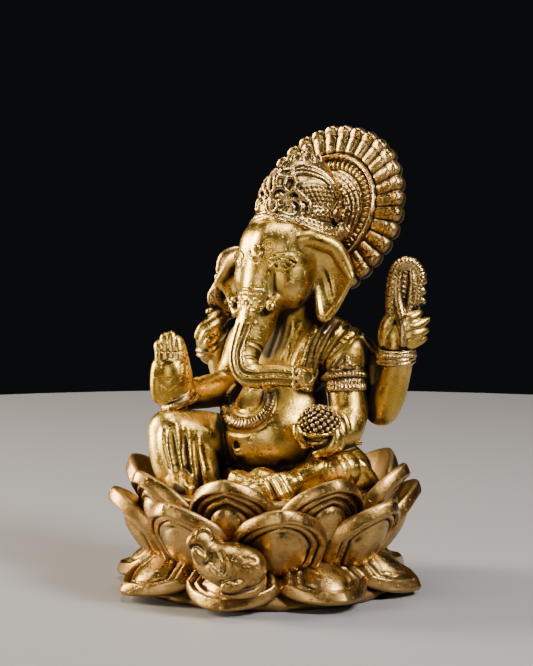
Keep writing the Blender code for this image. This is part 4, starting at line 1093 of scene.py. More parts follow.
def petal(name, tier, angle, seed, material):
    spec = PETALS[tier]
    nt, ns = ((80, 75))
    g = np.random.default_rng(seed)
    line = np.array(spec["line"], float)
    line[3] += g.normal(size=2) * (0.22, 0.25)
    line[2] += g.normal(size=2) * (0.12, 0.16)
    half = spec["half"] * (1 + 0.02 * g.normal())
    tt = np.linspace(0, 1, nt)
    tt = 1 - (1 - tt) ** 1.5
    ss = np.sin(np.linspace(-1, 1, ns) * math.pi / 2)
    c = curve3(line, tt)
    dc = np.gradient(c, tt, axis=0)
    tan = dc / np.linalg.norm(dc, axis=1, keepdims=True)
    length = np.concatenate([[0], np.cumsum(np.linalg.norm(np.diff(c, axis=0), axis=1))])
    total = length[-1]
    w = np.maximum(petal_width(tt, spec["root"]) * half, 0.04)
    # keeps clear of the next petals in its ring
    w = np.minimum(w, 0.3927 * c[:, 0] - 0.12)
    lean = 0.28 * g.normal()
    X = w[:, None] * ss[None, :]
    Y = np.repeat(length[:, None], ns, 1)
    edge_x, edge_y = np.concatenate([w, [0.0]]), np.concatenate([length, [total + 0.05]])
    d = np.full(X.shape, 99.0)
    for i in range(len(edge_x) - 1):
        for sgn in (1, -1):
            a, b = np.array([sgn * edge_x[i], edge_y[i]]), np.array([sgn * edge_x[i + 1], edge_y[i + 1]])
            e = b - a
            h = np.clip(((X - a[0]) * e[0] + (Y - a[1]) * e[1]) / (e @ e + 1e-12), 0, 1)
            d = np.minimum(d, np.hypot(X - a[0] - h * e[0], Y - a[1] - h * e[1]))
    d[:, 0] = d[:, -1] = 0
    wob = waves(seed + 5, 7, 0.25, 0.9)
    P2 = np.stack([X, Y, np.full_like(X, seed * 0.37)], -1)
    dd = d + 0.22 * wob(P2)

    def bump(x, at_, hw):
        q = np.clip(np.abs(x - at_) / hw, 0, 1)
        return (1 - q * q) ** 1.15

    fade = steps(-0.02, 0.16, tt)[:, None]
    rim_h = 0.85 + 0.13 * wob(P2 * 1.7 + 3.0)
    H = rim_h * bump(dd, 0.8, 1.1)
    H += 0.52 * bump(dd, 2.45, 0.78) * fade + 0.44 * bump(dd, 3.85, 0.72) * fade
    H -= 0.16 * bump(dd, 1.75, 0.34) + 0.16 * bump(dd, 3.15, 0.32) * fade + 0.2 * bump(dd, 4.6, 0.4) * fade
    by = total * (0.35 if tier != "lower" else 0.38)
    rad = 4.2 if tier == "outer" else (3.9 if tier == "lower" else 3.6)
    q = np.hypot(X * 1.0, (Y - by) * np.where(Y > by, 0.92, 0.75)) / rad
    boss = np.maximum(1 - q ** 2.3, 0) ** 0.62
    H = np.where(q < 1, H * steps(0.8, 1.05, q) + 1.6 * boss, H)
    H += 0.07 * wob(P2 * 2.3 + 9.0)
    grain = waves(seed + 50, 16, 3.0, 7.5)
    H += 0.018 * grain(P2)
    er = 0.85
    e = np.sqrt(np.maximum(1 - (1 - np.clip(d / er, 0, 1)) ** 2, 0))
    T = spec["thick"]
    front = -T / 2 * (1 - e) * 0 + (H + T / 2) * e - 0.0
    inner_smooth = 0.10 * wob(P2 * 1.3 + 20.0)
    back = -(T / 2) * e + inner_smooth * e
    arch = spec["arch"]
    s_arch = (X / half) ** 2
    tip_up = steps(0.72, 1.0, tt)[:, None]

    def place(h):
        r = c[:, 0][:, None] - arch * s_arch * (0.5 + 0.6 * tt[:, None]) + 0 * X
        z = c[:, 1][:, None] - (0.35 * s_arch * tt[:, None] if tier != "lower" else -0.5 * s_arch * tt[:, None])
        out = np.stack([tan[:, 1], -tan[:, 0]], -1)
        if tier == "lower":
            out = -out
        r = r + out[:, 0][:, None] * h
        z = z + out[:, 1][:, None] * h
        ang = X / np.maximum(r, 1.0) + lean * 0.01 * Y / total + math.radians(angle)
        return np.stack([r * np.sin(ang), -r * np.cos(ang), z], -1)

    F, B = place(front), place(back)
    F[:, 0] = B[:, 0] = (F[:, 0] + B[:, 0]) / 2
    F[:, -1] = B[:, -1] = (F[:, -1] + B[:, -1]) / 2
    loops = np.concatenate([F, B[:, 1:-1][:, ::-1]], axis=1)
    m = loops.shape[1]
    verts = loops.reshape(-1, 3)
    i, j = np.meshgrid(np.arange(nt - 1), np.arange(m), indexing="ij")
    quads = np.stack([i * m + j, i * m + (j + 1) % m, (i + 1) * m + (j + 1) % m, (i + 1) * m + j], -1).reshape(-1, 4)
    c0, c1 = len(verts), len(verts) + 1
    verts = np.vstack([verts, loops[0].mean(0), loops[-1].mean(0)])
    jj = np.arange(m)
    tris = np.vstack([np.stack([np.full(m, c0), (jj + 1) % m, jj], -1), np.stack([np.full(m, c1), (nt - 1) * m + jj, (nt - 1) * m + (jj + 1) % m], -1)])
    if outside_in(verts, quads, tris):
        quads, tris = quads[:, ::-1], tris[:, ::-1]

    def soft(a, n):
        for _ in range(n):
            p = np.pad(a, 1, mode="edge")
            a = (p[:-2, 1:-1] + p[2:, 1:-1] + p[1:-1, :-2] + p[1:-1, 2:] + 2 * p[1:-1, 1:-1]) / 6
        return a

    rel = H - soft(H, 34)
    # painted shade: each petal darker near its root, where it meets the core and its neighbours
    near_root = 1 - steps(0.0, 2.2, Y)
    cav = np.clip(-rel * 2.3, 0, 1)
    cav = np.maximum(cav, 0.8 * near_root)
    wear = np.clip(rel * 2.0, 0, 1) * (1 - near_root)
    # painted shade: the inner face of each petal evenly darker
    cavB = np.full((nt, ns - 2), 0.35)
    cavity = np.concatenate([np.concatenate([cav, cavB], 1).ravel(), [0.8, 0.0]])
    wearing = np.concatenate([np.concatenate([wear, 0 * cavB + 0.1], 1).ravel(), [0.0, 0.6]])
    return mesh_from(name, verts, quads, tris, None, {"cavity": cavity, "wear": wearing}, material)


def outside_in(verts, quads, tris):
    vol = 0.0
    for f in (quads, tris):
        for k in range(1, f.shape[1] - 1):
            a, b, c = verts[f[:, 0]], verts[f[:, k]], verts[f[:, k + 1]]
            vol += np.einsum("ij,ij->i", a, np.cross(b, c)).sum()
    return vol < 0


def turned(name, profile, seed, material, relief=None):
    """A solid turned round Z from a profile that starts and ends on the axis."""
    n = 300
    prof = np.array(profile, float)
    fine = [prof[0]]
    for a, b in zip(prof, prof[1:]):
        k = max(1, int(np.linalg.norm(b - a) / (0.25)))
        fine += [a + (b - a) * (i + 1) / k for i in range(k)]
    fine = np.array(fine)
    sm = fine.copy()
    for _ in range(3):
        sm[1:-1] = (sm[:-2] + 2 * sm[1:-1] + sm[2:]) / 4
    sm[0], sm[-1] = fine[0], fine[-1]
    fine = sm
    mid = fine[1:-1]
    th = np.arange(n) * 2 * math.pi / n
    r = mid[:, 0][:, None] + 0 * th
    z = mid[:, 1][:, None] + 0 * th
    P = np.stack([r * np.sin(th), -r * np.cos(th), z], -1)
    tan = np.gradient(mid, axis=0)
    tan /= np.linalg.norm(tan, axis=1, keepdims=True) + 1e-9
    out = np.stack([tan[:, 1], -tan[:, 0]], -1)
    h = relief(r, z, th[None, :] + 0 * r, P) if relief else 0 * r
    r2 = r + out[:, 0][:, None] * h
    z2 = np.maximum(z + out[:, 1][:, None] * h, 0.0)
    P = np.stack([r2 * np.sin(th), -r2 * np.cos(th), z2], -1)
    m = n
    verts = np.vstack([P.reshape(-1, 3), [[0, 0, fine[0][1]], [0, 0, fine[-1][1]]]])
    rows = len(mid)
    i, j = np.meshgrid(np.arange(rows - 1), np.arange(m), indexing="ij")
    quads = np.stack([i * m + j, i * m + (j + 1) % m, (i + 1) * m + (j + 1) % m, (i + 1) * m + j], -1).reshape(-1, 4)
    jj = np.arange(m)
    tris = np.vstack([np.stack([np.full(m, rows * m), (jj + 1) % m, jj], -1), np.stack([np.full(m, rows * m + 1), (rows - 1) * m + jj, (rows - 1) * m + (jj + 1) % m], -1)])
    if outside_in(verts, quads, tris):
        quads, tris = quads[:, ::-1], tris[:, ::-1]
    cav = np.clip(0.35 - h * 1.2, 0, 1).ravel()
    wear = np.clip(h * 1.6, 0, 1).ravel()
    return mesh_from(name, verts, quads, tris, None, {"cavity": np.concatenate([cav, [0.4, 0.4]]), "wear": np.concatenate([wear, [0.0, 0.0]])}, material)


core_w1, core_w2 = waves(71, 18, 1.6, 3.6), waves(72, 14, 4.5, 8.0)


def core_relief(r, z, th, P):
    waist = np.exp(-((z - 7.0) / 2.6) ** 2) * (r < 19.5) * (r > 14)
    lumps = np.maximum(core_w1(P), -0.2) * 0.42 + 0.12 * core_w2(P)
    plate = 0.10 * core_w1(P * 0.6) * (z < 3)
    top = 0.05 * core_w2(P * 0.7) * (z > 16.0)
    return waist * lumps + plate + top


# ------------------------------------------------------------------ halo
HC = vec(0.0, 17.0, 61.5)
LEAN = math.radians(20)
HX, HY_, HN = vec(1, 0, 0), vec(0, math.sin(LEAN), math.cos(LEAN)), vec(0, -math.cos(LEAN), math.sin(LEAN))
RIBS = 32


def halo(material):
    n = 512
    inner = np.concatenate([np.linspace(0.35, 7.0, 36), np.linspace(7.15, 9.9, 24)[:], np.linspace(10.0, 1.0 * 15.3, 34)])
    th = np.arange(n) * 2 * math.pi / n
    R, TH = np.meshgrid(inner, th, indexing="ij")
    rib = np.abs(((TH / (2 * math.pi) * RIBS + 0.5) % 1.0) - 0.5) * 2           # 0 mid rib, 1 between
    g = np.random.default_rng(5)
    rib_i = np.floor(TH / (2 * math.pi) * RIBS + 0.5).astype(int) % RIBS
    vary = g.normal(size=RIBS)[rib_i] * (1 - rib ** 4)
    # the ends of the ribs make the rim scalloped
    edge = 15.25 - 0.95 * (1 - np.sqrt(np.maximum(1 - (rib * 0.98) ** 2, 0))) + 0.10 * vary
    s = np.clip((R - 10.0) / (15.3 - 10.0), 0, 1)
    r2 = np.where(R > 10.0, 10.0 + s * (edge - 10.0), R)
    half_arc = np.sqrt(np.maximum(1 - (rib * 0.97) ** 2, 0))
    H = np.zeros_like(R)
    ribs_on = steps(9.9, 10.5, r2)
    swell = 0.74 + 0.26 * steps(12.6, 14.6, r2)
    end = np.sqrt(np.maximum(1 - np.clip((r2 - (edge - 0.85)) / 0.85, 0, 1) ** 2, 0))
    H += ribs_on * (0.12 + 1.0 * swell * half_arc) * (0.25 + 0.75 * end)
    neck = np.exp(-((r2 - (edge - 1.75)) / 0.3) ** 2)
    H -= 0.16 * neck * ribs_on
    # bright plain ring, with short knobs just inside it
    q = np.clip(np.abs(r2 - 9.5) / 0.5, 0, 1)
    H += 1.15 * (1 - q * q) ** 0.6
    knob = np.abs(((TH / (2 * math.pi) * 52) % 1.0) - 0.5) * 2
    kh = np.sqrt(np.maximum(1 - (knob * 0.95) ** 2, 0))
    q = np.clip(np.abs(r2 - 8.05) / 0.85, 0, 1)
    H += 0.72 * kh * (1 - q ** 3)
    # nested feathers over the middle, swirling round
    X, Y = r2 * np.sin(TH), r2 * np.cos(TH)
    swirl = r2 * 1.9 + 0.9 * np.sin(2 * TH + 0.5) + 1.4 * np.sin(TH - 0.6 + 0.12 * r2)
    f = np.abs((swirl / 1.75) % 1.0 - 0.5) * 2
    barb = 0.5 + 0.5 * np.sin(TH * 38 + r2 * 5.0)
    H += (1 - steps(6.9, 7.2, r2)) * (0.55 * (1 - f ** 2.2) + 0.12 * barb * (1 - f))
    wob = waves(33, 10, 0.5, 1.6)
    P = np.stack([X, Y, 0 * X], -1)
    H += 0.05 * wob(P) + 0.02 * waves(34, 14, 4.0, 8.0)(P)
    e = np.sqrt(np.maximum(1 - np.clip((R - 14.75) / 0.55, 0, 1) ** 2, 0))
    front = 0.45 + H
    front = front * e
    back = -(0.55 + 0.28 * ribs_on * half_arc + 0.05 * wob(P * 1.3 + 4)) * e

    def place(h):
        return HC + HX * X[..., None] + HY_ * Y[..., None] + HN * h[..., None]

    F, B = place(front), place(back)
    mid = (F[-1] + B[-1]) / 2
    F[-1] = mid
    verts = np.vstack([F.reshape(-1, 3), B[:-1].reshape(-1, 3), [HC + HN * 0.9], [HC - HN * 0.55]])
    rows, m = F.shape[:2]
    i, j = np.meshgrid(np.arange(rows - 1), np.arange(m), indexing="ij")
    front_q = np.stack([i * m + j, (i + 1) * m + j, (i + 1) * m + (j + 1) % m, i * m + (j + 1) % m], -1).reshape(-1, 4)
    off = rows * m
    i2, j2 = np.meshgrid(np.arange(rows - 2), np.arange(m), indexing="ij")
    back_q = np.stack([off + i2 * m + j2, off + i2 * m + (j2 + 1) % m, off + (i2 + 1) * m + (j2 + 1) % m, off + (i2 + 1) * m + j2], -1).reshape(-1, 4)
    jj = np.arange(m)
    last_b, last_f = off + (rows - 2) * m, (rows - 1) * m
    join = np.stack([last_b + jj, last_b + (jj + 1) % m, last_f + (jj + 1) % m, last_f + jj], -1)
    cf = rows * m + (rows - 1) * m
    tris = np.vstack([np.stack([np.full(m, cf), jj, (jj + 1) % m], -1), np.stack([np.full(m, cf + 1), off + (jj + 1) % m, off + jj], -1)])
    quads = np.vstack([front_q, back_q, join])
    if outside_in(verts, quads, tris):
        quads, tris = quads[:, ::-1], tris[:, ::-1]

    def soft(a, k):
        for _ in range(k):
            p = np.concatenate([a[:1], a, a[-1:]], 0)
            l, rr = np.roll(a, 1, 1), np.roll(a, -1, 1)
            a = (p[:-2] + p[2:] + l + rr + 2 * a) / 6
        return a

    rel = H - soft(H, 40)
    cav = np.concatenate([np.clip(-rel * 2.4, 0, 1).ravel(), np.full((rows - 1) * m, 0.35), [0.5, 0.3]])
    wear = np.concatenate([np.clip(rel * 2.0, 0, 1).ravel(), np.full((rows - 1) * m, 0.15), [0.2, 0.0]])
    return mesh_from("halo", verts, quads, tris, None, {"cavity": cav, "wear": wear}, material)


# ------------------------------------------------------------------ crown
crown = Field((-10.5, -3.5, 52.5), (10.8, 18.5, 73.5), 0.128, 0.222)
crown.piece("crown", [
    ball((0.0, 8.9, 61.6), (6.9, 7.0, 4.6)),
    ball((0.0, 9.3, 64.8), (6.5, 6.9, 4.8)),
    ball((0.0, 10.0, 67.6), (4.5, 4.9, 3.6)),
    *rope([(-7.0, 9.6, 58.2, 0.9), (-6.2, 5.9, 59.0, 0.95), (-3.6, 3.2, 60.2, 1.0), (0.0, 2.2, 60.5, 1.05), (3.6, 3.2, 60.2, 1.0), (6.2, 5.9, 59.0, 0.95), (7.1, 9.6, 58.2, 0.9), (6.4, 13.4, 58.4, 1.0)]),
    *rope([(-7.0, 9.6, 58.2, 0.9), (-6.4, 13.4, 58.4, 1.0)]),
    ball((0.0, 3.6, 65.6), (1.7, 2.0, 3.4)),
    ball((0.0, 12.0, 61.0), (6.0, 4.0, 4.8)),
], k=1.2)
crown_skin = crown.U.copy()


def lay(field, uvs, r, lift=0.0, per=3, both=True, skin=None):
    """Stations laid on the skin along points seen from the front left, with their mirror image for the other side."""
    rr = r if hasattr(r, "__len__") else [r] * len(uvs)
    pts = smooth_path([(u, v, q) for (u, v), q in zip(uvs, rr)], per)
    st = [(*field.seen((p[0], p[1]), lift), p[2]) for p in pts]
    out = [tube(a[:3], b[:3], a[3], b[3]) for a, b in zip(st, st[1:])]
    if both:
        ms = [(-a[0], *a[1:]) for a in st]
        out += [tube(a[:3], b[:3], a[3], b[3]) for a, b in zip(ms, ms[1:])]
    return out


def knob(field, uv, r, lift=0.0, both=True, press=0.75):
    p = field.seen(uv, lift)
    out = [ball(p, (r, r, r))]
    if both:
        out.append(ball(mirror(p), (r, r, r)))
    return out


def spiral(cu, cv, r0, r1, turns, start, n=40):
    return [(cu + (r0 + (r1 - r0) * i / n) * math.cos(start + turns * 2 * math.pi * i / n), cv + (r0 + (r1 - r0) * i / n) * math.sin(start + turns * 2 * math.pi * i / n)) for i in range(n + 1)]


adds, cuts = [], []
# brow band: three parallel wires and a bead row over the forehead
for off, r in ((0.0, 0.44), (-4.4, 0.24), (-8.4, 0.36)):
    adds.append((lay(crown, [S(x, y + off) for x, y in ((257.5, 221), (263, 219.5), (271, 217.5), (281, 217), (294, 221), (305, 226), (315, 230), (326, 234), (336, 235), (343, 231))], r, 0.08), 0.08))
for i in range(17):
    x = 258 + 4.9 * i
    y = np.interp(x, [257.5, 263, 271, 281, 294, 305, 315, 326, 336, 343], [221, 219.5, 217.5, 217, 221, 226, 230, 234, 235, 231]) - 6.1
    adds.append((knob(crown, S(x, y), 0.3, 0.12), 0.05))
# the large volute over the temple, and a round boss before it
cu, cv = S(292.5, 206)
adds.append((lay(crown, spiral(cu, cv, 2.3, 0.4, 1.6, math.radians(100)), 0.42, 0.14, 1), 0.06))
adds.append((knob(crown, (cu, cv), 0.5, 0.3), 0.05))
cuts.append((lay(crown, [S(294, 188), (S(297, 191)), S(296, 196)], 0.38, 0.1), 0.1))
cu2, cv2 = S(280.6, 195)
adds.append((lay(crown, spiral(cu2, cv2, 1.25, 1.25, 1.0, 0.0, 16), 0.36, 0.15, 1), 0.06))
adds.append((knob(crown, (cu2, cv2), 0.55, 0.25), 0.05))
adds.append((lay(crown, spiral(*S(271, 208), 1.4, 0.4, 1.3, 2.0, 22), 0.34, 0.12, 1), 0.06))
# bands that sweep over the dome
for off, r in ((0, 0.44), (-5.0, 0.22), (-8.6, 0.4)):
    adds.append((lay(crown, [S(290 + off * 0.2, 177 + off), S(303, 173.5 + off * 0.9), S(316, 176 + off * 0.85), S(326, 181 + off * 0.7), S(333, 188 + off * 0.5), S(337, 197 + off * 0.3)], r, 0.08), 0.07))
# dotted field of the dome
for row in range(5):
    for i in range(7):
        x = 304 + 4.3 * i + (2.1 if row % 2 else 0)
        y = 186.5 + 4.3 * row + 0.35 * abs(i - 3)
        adds.append((knob(crown, S(x, y), 0.27, 0.1), 0.05))
cuts.append((lay(crown, [S(301, 184), S(299, 192), S(300, 203), S(306, 208)], 0.24, 0.06), 0.1))
cuts.append((lay(crown, [S(303, 184.5), S(316, 182), S(328, 187), S(333, 196)], 0.2, 0.06), 0.1))
# row of crescent lobes
for i in range(6):
    x, y = 307.5 + 5.2 * i, 213.5 + 0.9 * abs(i - 2.5)
    cu3, cv3 = S(x, y)
    adds.append((lay(crown, [(cu3 + 0.42 * math.cos(a), cv3 + 0.62 * math.sin(a)) for a in np.linspace(math.radians(200), math.radians(-20), 8)], 0.27, 0.12, 1), 0.05))
    adds.append((knob(crown, (cu3, cv3 - 0.15), 0.25, 0.1), 0.05))
adds.append((lay(crown, [S(302, 208), S(312, 206.5), S(323, 208), S(333, 211)], 0.22, 0.08), 0.06))
adds.append((lay(crown, [S(300, 219), S(312, 221), S(323, 224), S(336, 226)], 0.22, 0.08), 0.06))
# ribbon down the back edge, in two strands
adds.append((lay(crown, [S(334, 190), S(339, 197), S(338, 206), S(334, 214), S(336, 223), S(342, 231), S(347, 236)], [0.35, 0.5, 0.5, 0.45, 0.5, 0.5, 0.3], 0.1), 0.1))
adds.append((lay(crown, [S(341, 190), S(346, 210), S(342, 216), S(343, 224), S(348, 232)], [0.3, 0.42, 0.4, 0.4, 0.3], 0.1), 0.1))
# curls up the front, either side of the middle
for pts, r in (([(276, 188), (277, 178), (283, 169), (290, 166)], 0.42), ([(284, 187), (286, 179), (291, 174), (296, 173)], 0.38),
               ([(266, 190), (268, 182), (274, 176)], 0.42), ([(262, 200), (263, 192), (267, 186)], 0.42), ([(258, 212), (259, 203), (263, 196)], 0.42)):
    adds.append((lay(crown, [S(*p) for p in pts], [r, r * 1.15, r, r * 0.5][:len(pts)], 0.18), 0.08))
for shapes, k_ in cuts:
    crown.deco("crown", shapes, k=k_, mode="cut", pad=0.5)
for shapes, k_ in adds:
    crown.deco("crown", shapes, k=k_ + 0.07, pad=0.5)
# leaves and buds of the finial
crown.deco("crown", [ball((0.0, 10.2, 68.9), (2.6, 3.0, 1.5)), torus((0, 10.2, 69.3), (0, -0.1, 1), 2.7, 0.42), torus((0, 10.1, 68.1), (0, -0.1, 1), 3.4, 0.36)], k=0.2)
for i in range(22):
    a = 2 * math.pi * i / 22
    crown.deco("crown", [ball((3.15 * math.cos(a), 10.1 + 3.15 * math.sin(a), 68.7), 0.4)], k=0.05, pad=0.5)
for i in range(9):
    a = 2 * math.pi * (i + 0.5) / 9
    c, s_ = math.cos(a), math.sin(a)
    crown.deco("crown", rope([(1.7 * c, 10.2 + 1.7 * s_, 69.2, 0.6), (2.6 * c, 10.2 + 2.6 * s_, 70.2, 0.62), (2.5 * c, 10.2 + 2.5 * s_, 71.2, 0.32)]), k=0.12, pad=0.6)
crown.deco("crown", [ball((0, 10.2, 70.2), (1.5, 1.5, 1.5)), ball((0, 10.2, 71.6), 0.62)], k=0.2)
# back of the crown: three wide ribs with a row of beads above each, plain work out of the usual view
for z in (59.4, 62.0, 64.8):
    pts = []
    for a in np.linspace(math.radians(35), math.radians(145), 14):
        pts.append((*crown.hit((0.0 + 30 * math.cos(a), 9.0 + 30 * math.sin(a), z), (-math.cos(a), -math.sin(a), 0), 0.05), 0.36))
    crown.deco("crown", [tube(a[:3], b[:3], a[3], b[3]) for a, b in zip(pts, pts[1:])], k=0.12, pad=0.5)
    for p in pts[::1]:
        crown.deco("crown", [ball(np.array(p[:3]) + vec(0, 0, 1.15), 0.42)], k=0.06, pad=0.5)
# front jewel
jf = crown.hit((0, -30, 63.4), (0, 1, 0), 0.0)
crown.deco("crown", [torus(jf, (0, -1, 0.15), 1.15, 0.28), ball(jf, (0.75, 0.6, 0.85))], k=0.06)
for i in range(12):
    a = 2 * math.pi * i / 12
    crown.deco("crown", [ball(jf + vec(1.7 * math.cos(a), 0.1, 1.7 * math.sin(a)), 0.27)], k=0.05, pad=0.5)

# ------------------------------------------------------------------ mouse at the front of the lotus
mouse_f = Field((-6.0, -28.6, -0.6), (19.5, -10.5, 16.5), 0.125, 0.21)
mouse_f.piece("mouse", [
    *rope([A(246, 568, 20.3, 3.3), A(232, 566, 20.1, 3.6), A(216, 561, 19.5, 3.0), A(207, 551, 19.1, 2.3)]),
    ball(at(249, 567, 20.9), (2.9, 2.8, 3.0)),
    *rope([A(206, 549, 19.5, 2.0), A(203, 541, 19.7, 1.75), A(201, 535, 19.9, 1.3)]),
    *rope([A(204, 543, 19.7, 1.6), A(197, 540, 20.5, 1.2), A(192, 543, 20.9, 0.7)]),
    # forepaws held up, hind foot, tail
    *rope([A(206, 560, 21.1, 0.9), A(199, 556, 21.9, 0.7), A(196, 551, 21.9, 0.55)]),
    *rope([A(242, 582, 22.5, 1.0), A(232, 586, 23.3, 0.85), A(225, 587, 23.3, 0.6)]),
    *rope([A(262, 579, 19.9, 0.85), A(256, 590, 20.9, 0.75), A(241, 594, 21.9, 0.6), A(224, 594, 22.1, 0.45)]),
    *rope([A(226, 576, 22.7, 0.95), A(216, 572, 22.7, 0.8), A(210, 566, 22.5, 0.55)]),
], k=0.7)
ear_c = at(204.5, 536.5, 21.1)
mouse_f.deco("mouse", [torus(ear_c, BACK + RIGHT * 0.2, 1.15, 0.4)], k=0.15)
ear_m = at(197, 534, 19.0)
mouse_f.deco("mouse", [torus(ear_m, BACK * 0.4 - RIGHT, 0.75, 0.3)], k=0.15)
mouse_f.deco("mouse", [ball(at(199.5, 541.5, 21.4), 0.33)], k=0.05)
for line, r in (([(234, 578), (237, 566), (245, 559), (255, 560)], 0.5), ([(221, 552), (225, 562), (222, 574)], 0.5)):
    mouse_f.deco("mouse", mouse_f.trace([S(*p) for p in line], r, lift=0.3), k=0.3, mode="cut")
for i in range(26):
    u_, v_ = S(214 + 46 * rng.random(), 556 + 26 * rng.random())
    mouse_f.deco("mouse", mouse_f.trace([(u_, v_), (u_ + 0.5, v_ - 0.25)], 0.1, lift=0.0, per=1), k=0.12, mode="cut")

# ------------------------------------------------------------------ armlet on the upper left arm
arm_f = Field((5.0, -3.5, 29.0), (19.0, 14.0, 43.0), 0.12, 0.2)
arm_f.piece("arm_core", [*rope([(10.4, 8.0, 39.4, 3.4), (11.2, 6.8, 35.2, 2.9), (12.9, 5.4, 29.2, 2.95)]), *rope([(9.5, 4.0, 40.0, 2.0), (9.4, 4.0, 36.0, 1.6)])], k=0.8)
base_arm = arm_f.parts["arm_core"][2].copy()
armlet_st = []
c0 = vec(11.4, 6.6, 35.0)
ax_arm = vec(-0.25, 0.2, 1.0)
ax_arm /= np.linalg.norm(ax_arm)
fr_arm = axes(ax_arm, RIGHT)
armlet_shapes = [torus(c0 - ax_arm * 0.95, ax_arm, 3.05, 0.4), torus(c0 + ax_arm * 0.1, ax_arm, 3.05, 0.62), torus(c0 + ax_arm * 1.1, ax_arm, 3.0, 0.36)]
arm_f.piece("front_left_armlet", armlet_shapes, k=0.15)
front_dir = BACK * 0.93 + RIGHT * 0.1
front_dir = front_dir - ax_arm * (front_dir @ ax_arm)
front_dir /= np.linalg.norm(front_dir)
side_dir = np.cross(ax_arm, front_dir)
for a in np.linspace(-1.4, 1.4, 15):
    d_ = front_dir * math.cos(a) + side_dir * math.sin(a)
    arm_f.deco("front_left_armlet", [ball(c0 + ax_arm * 0.1 + d_ * 3.5, (0.42, 0.42, 0.5))], k=0.06)
    arm_f.deco("front_left_armlet", [ball(c0 - ax_arm * (1.75 + 0.5 * math.cos(a * 1.1)) + d_ * 3.2, (0.38, 0.38, 0.55))], k=0.12)
    arm_f.deco("front_left_armlet", [tube(c0 - ax_arm * 0.9 + d_ * 3.25, c0 - ax_arm * (1.6 + 0.5 * math.cos(a * 1.1)) + d_ * 3.2, 0.3)], k=0.1)
for s_, zz, rr in ((0.0, 1.6, 0.95), (0.0, 2.7, 0.62), (0.75, 1.5, 0.55), (-0.75, 1.5, 0.55)):
    d_ = front_dir * math.cos(s_ * 0.35) + side_dir * math.sin(s_ * 0.35)
    arm_f.deco("front_left_armlet", [ball(c0 + ax_arm * zz + d_ * 3.15, (rr, rr * 0.8, rr * 1.1))], k=0.15)


# ------------------------------------------------------------------ materials
def rgb(r, g, b):
    return (r, g, b, 1.0)


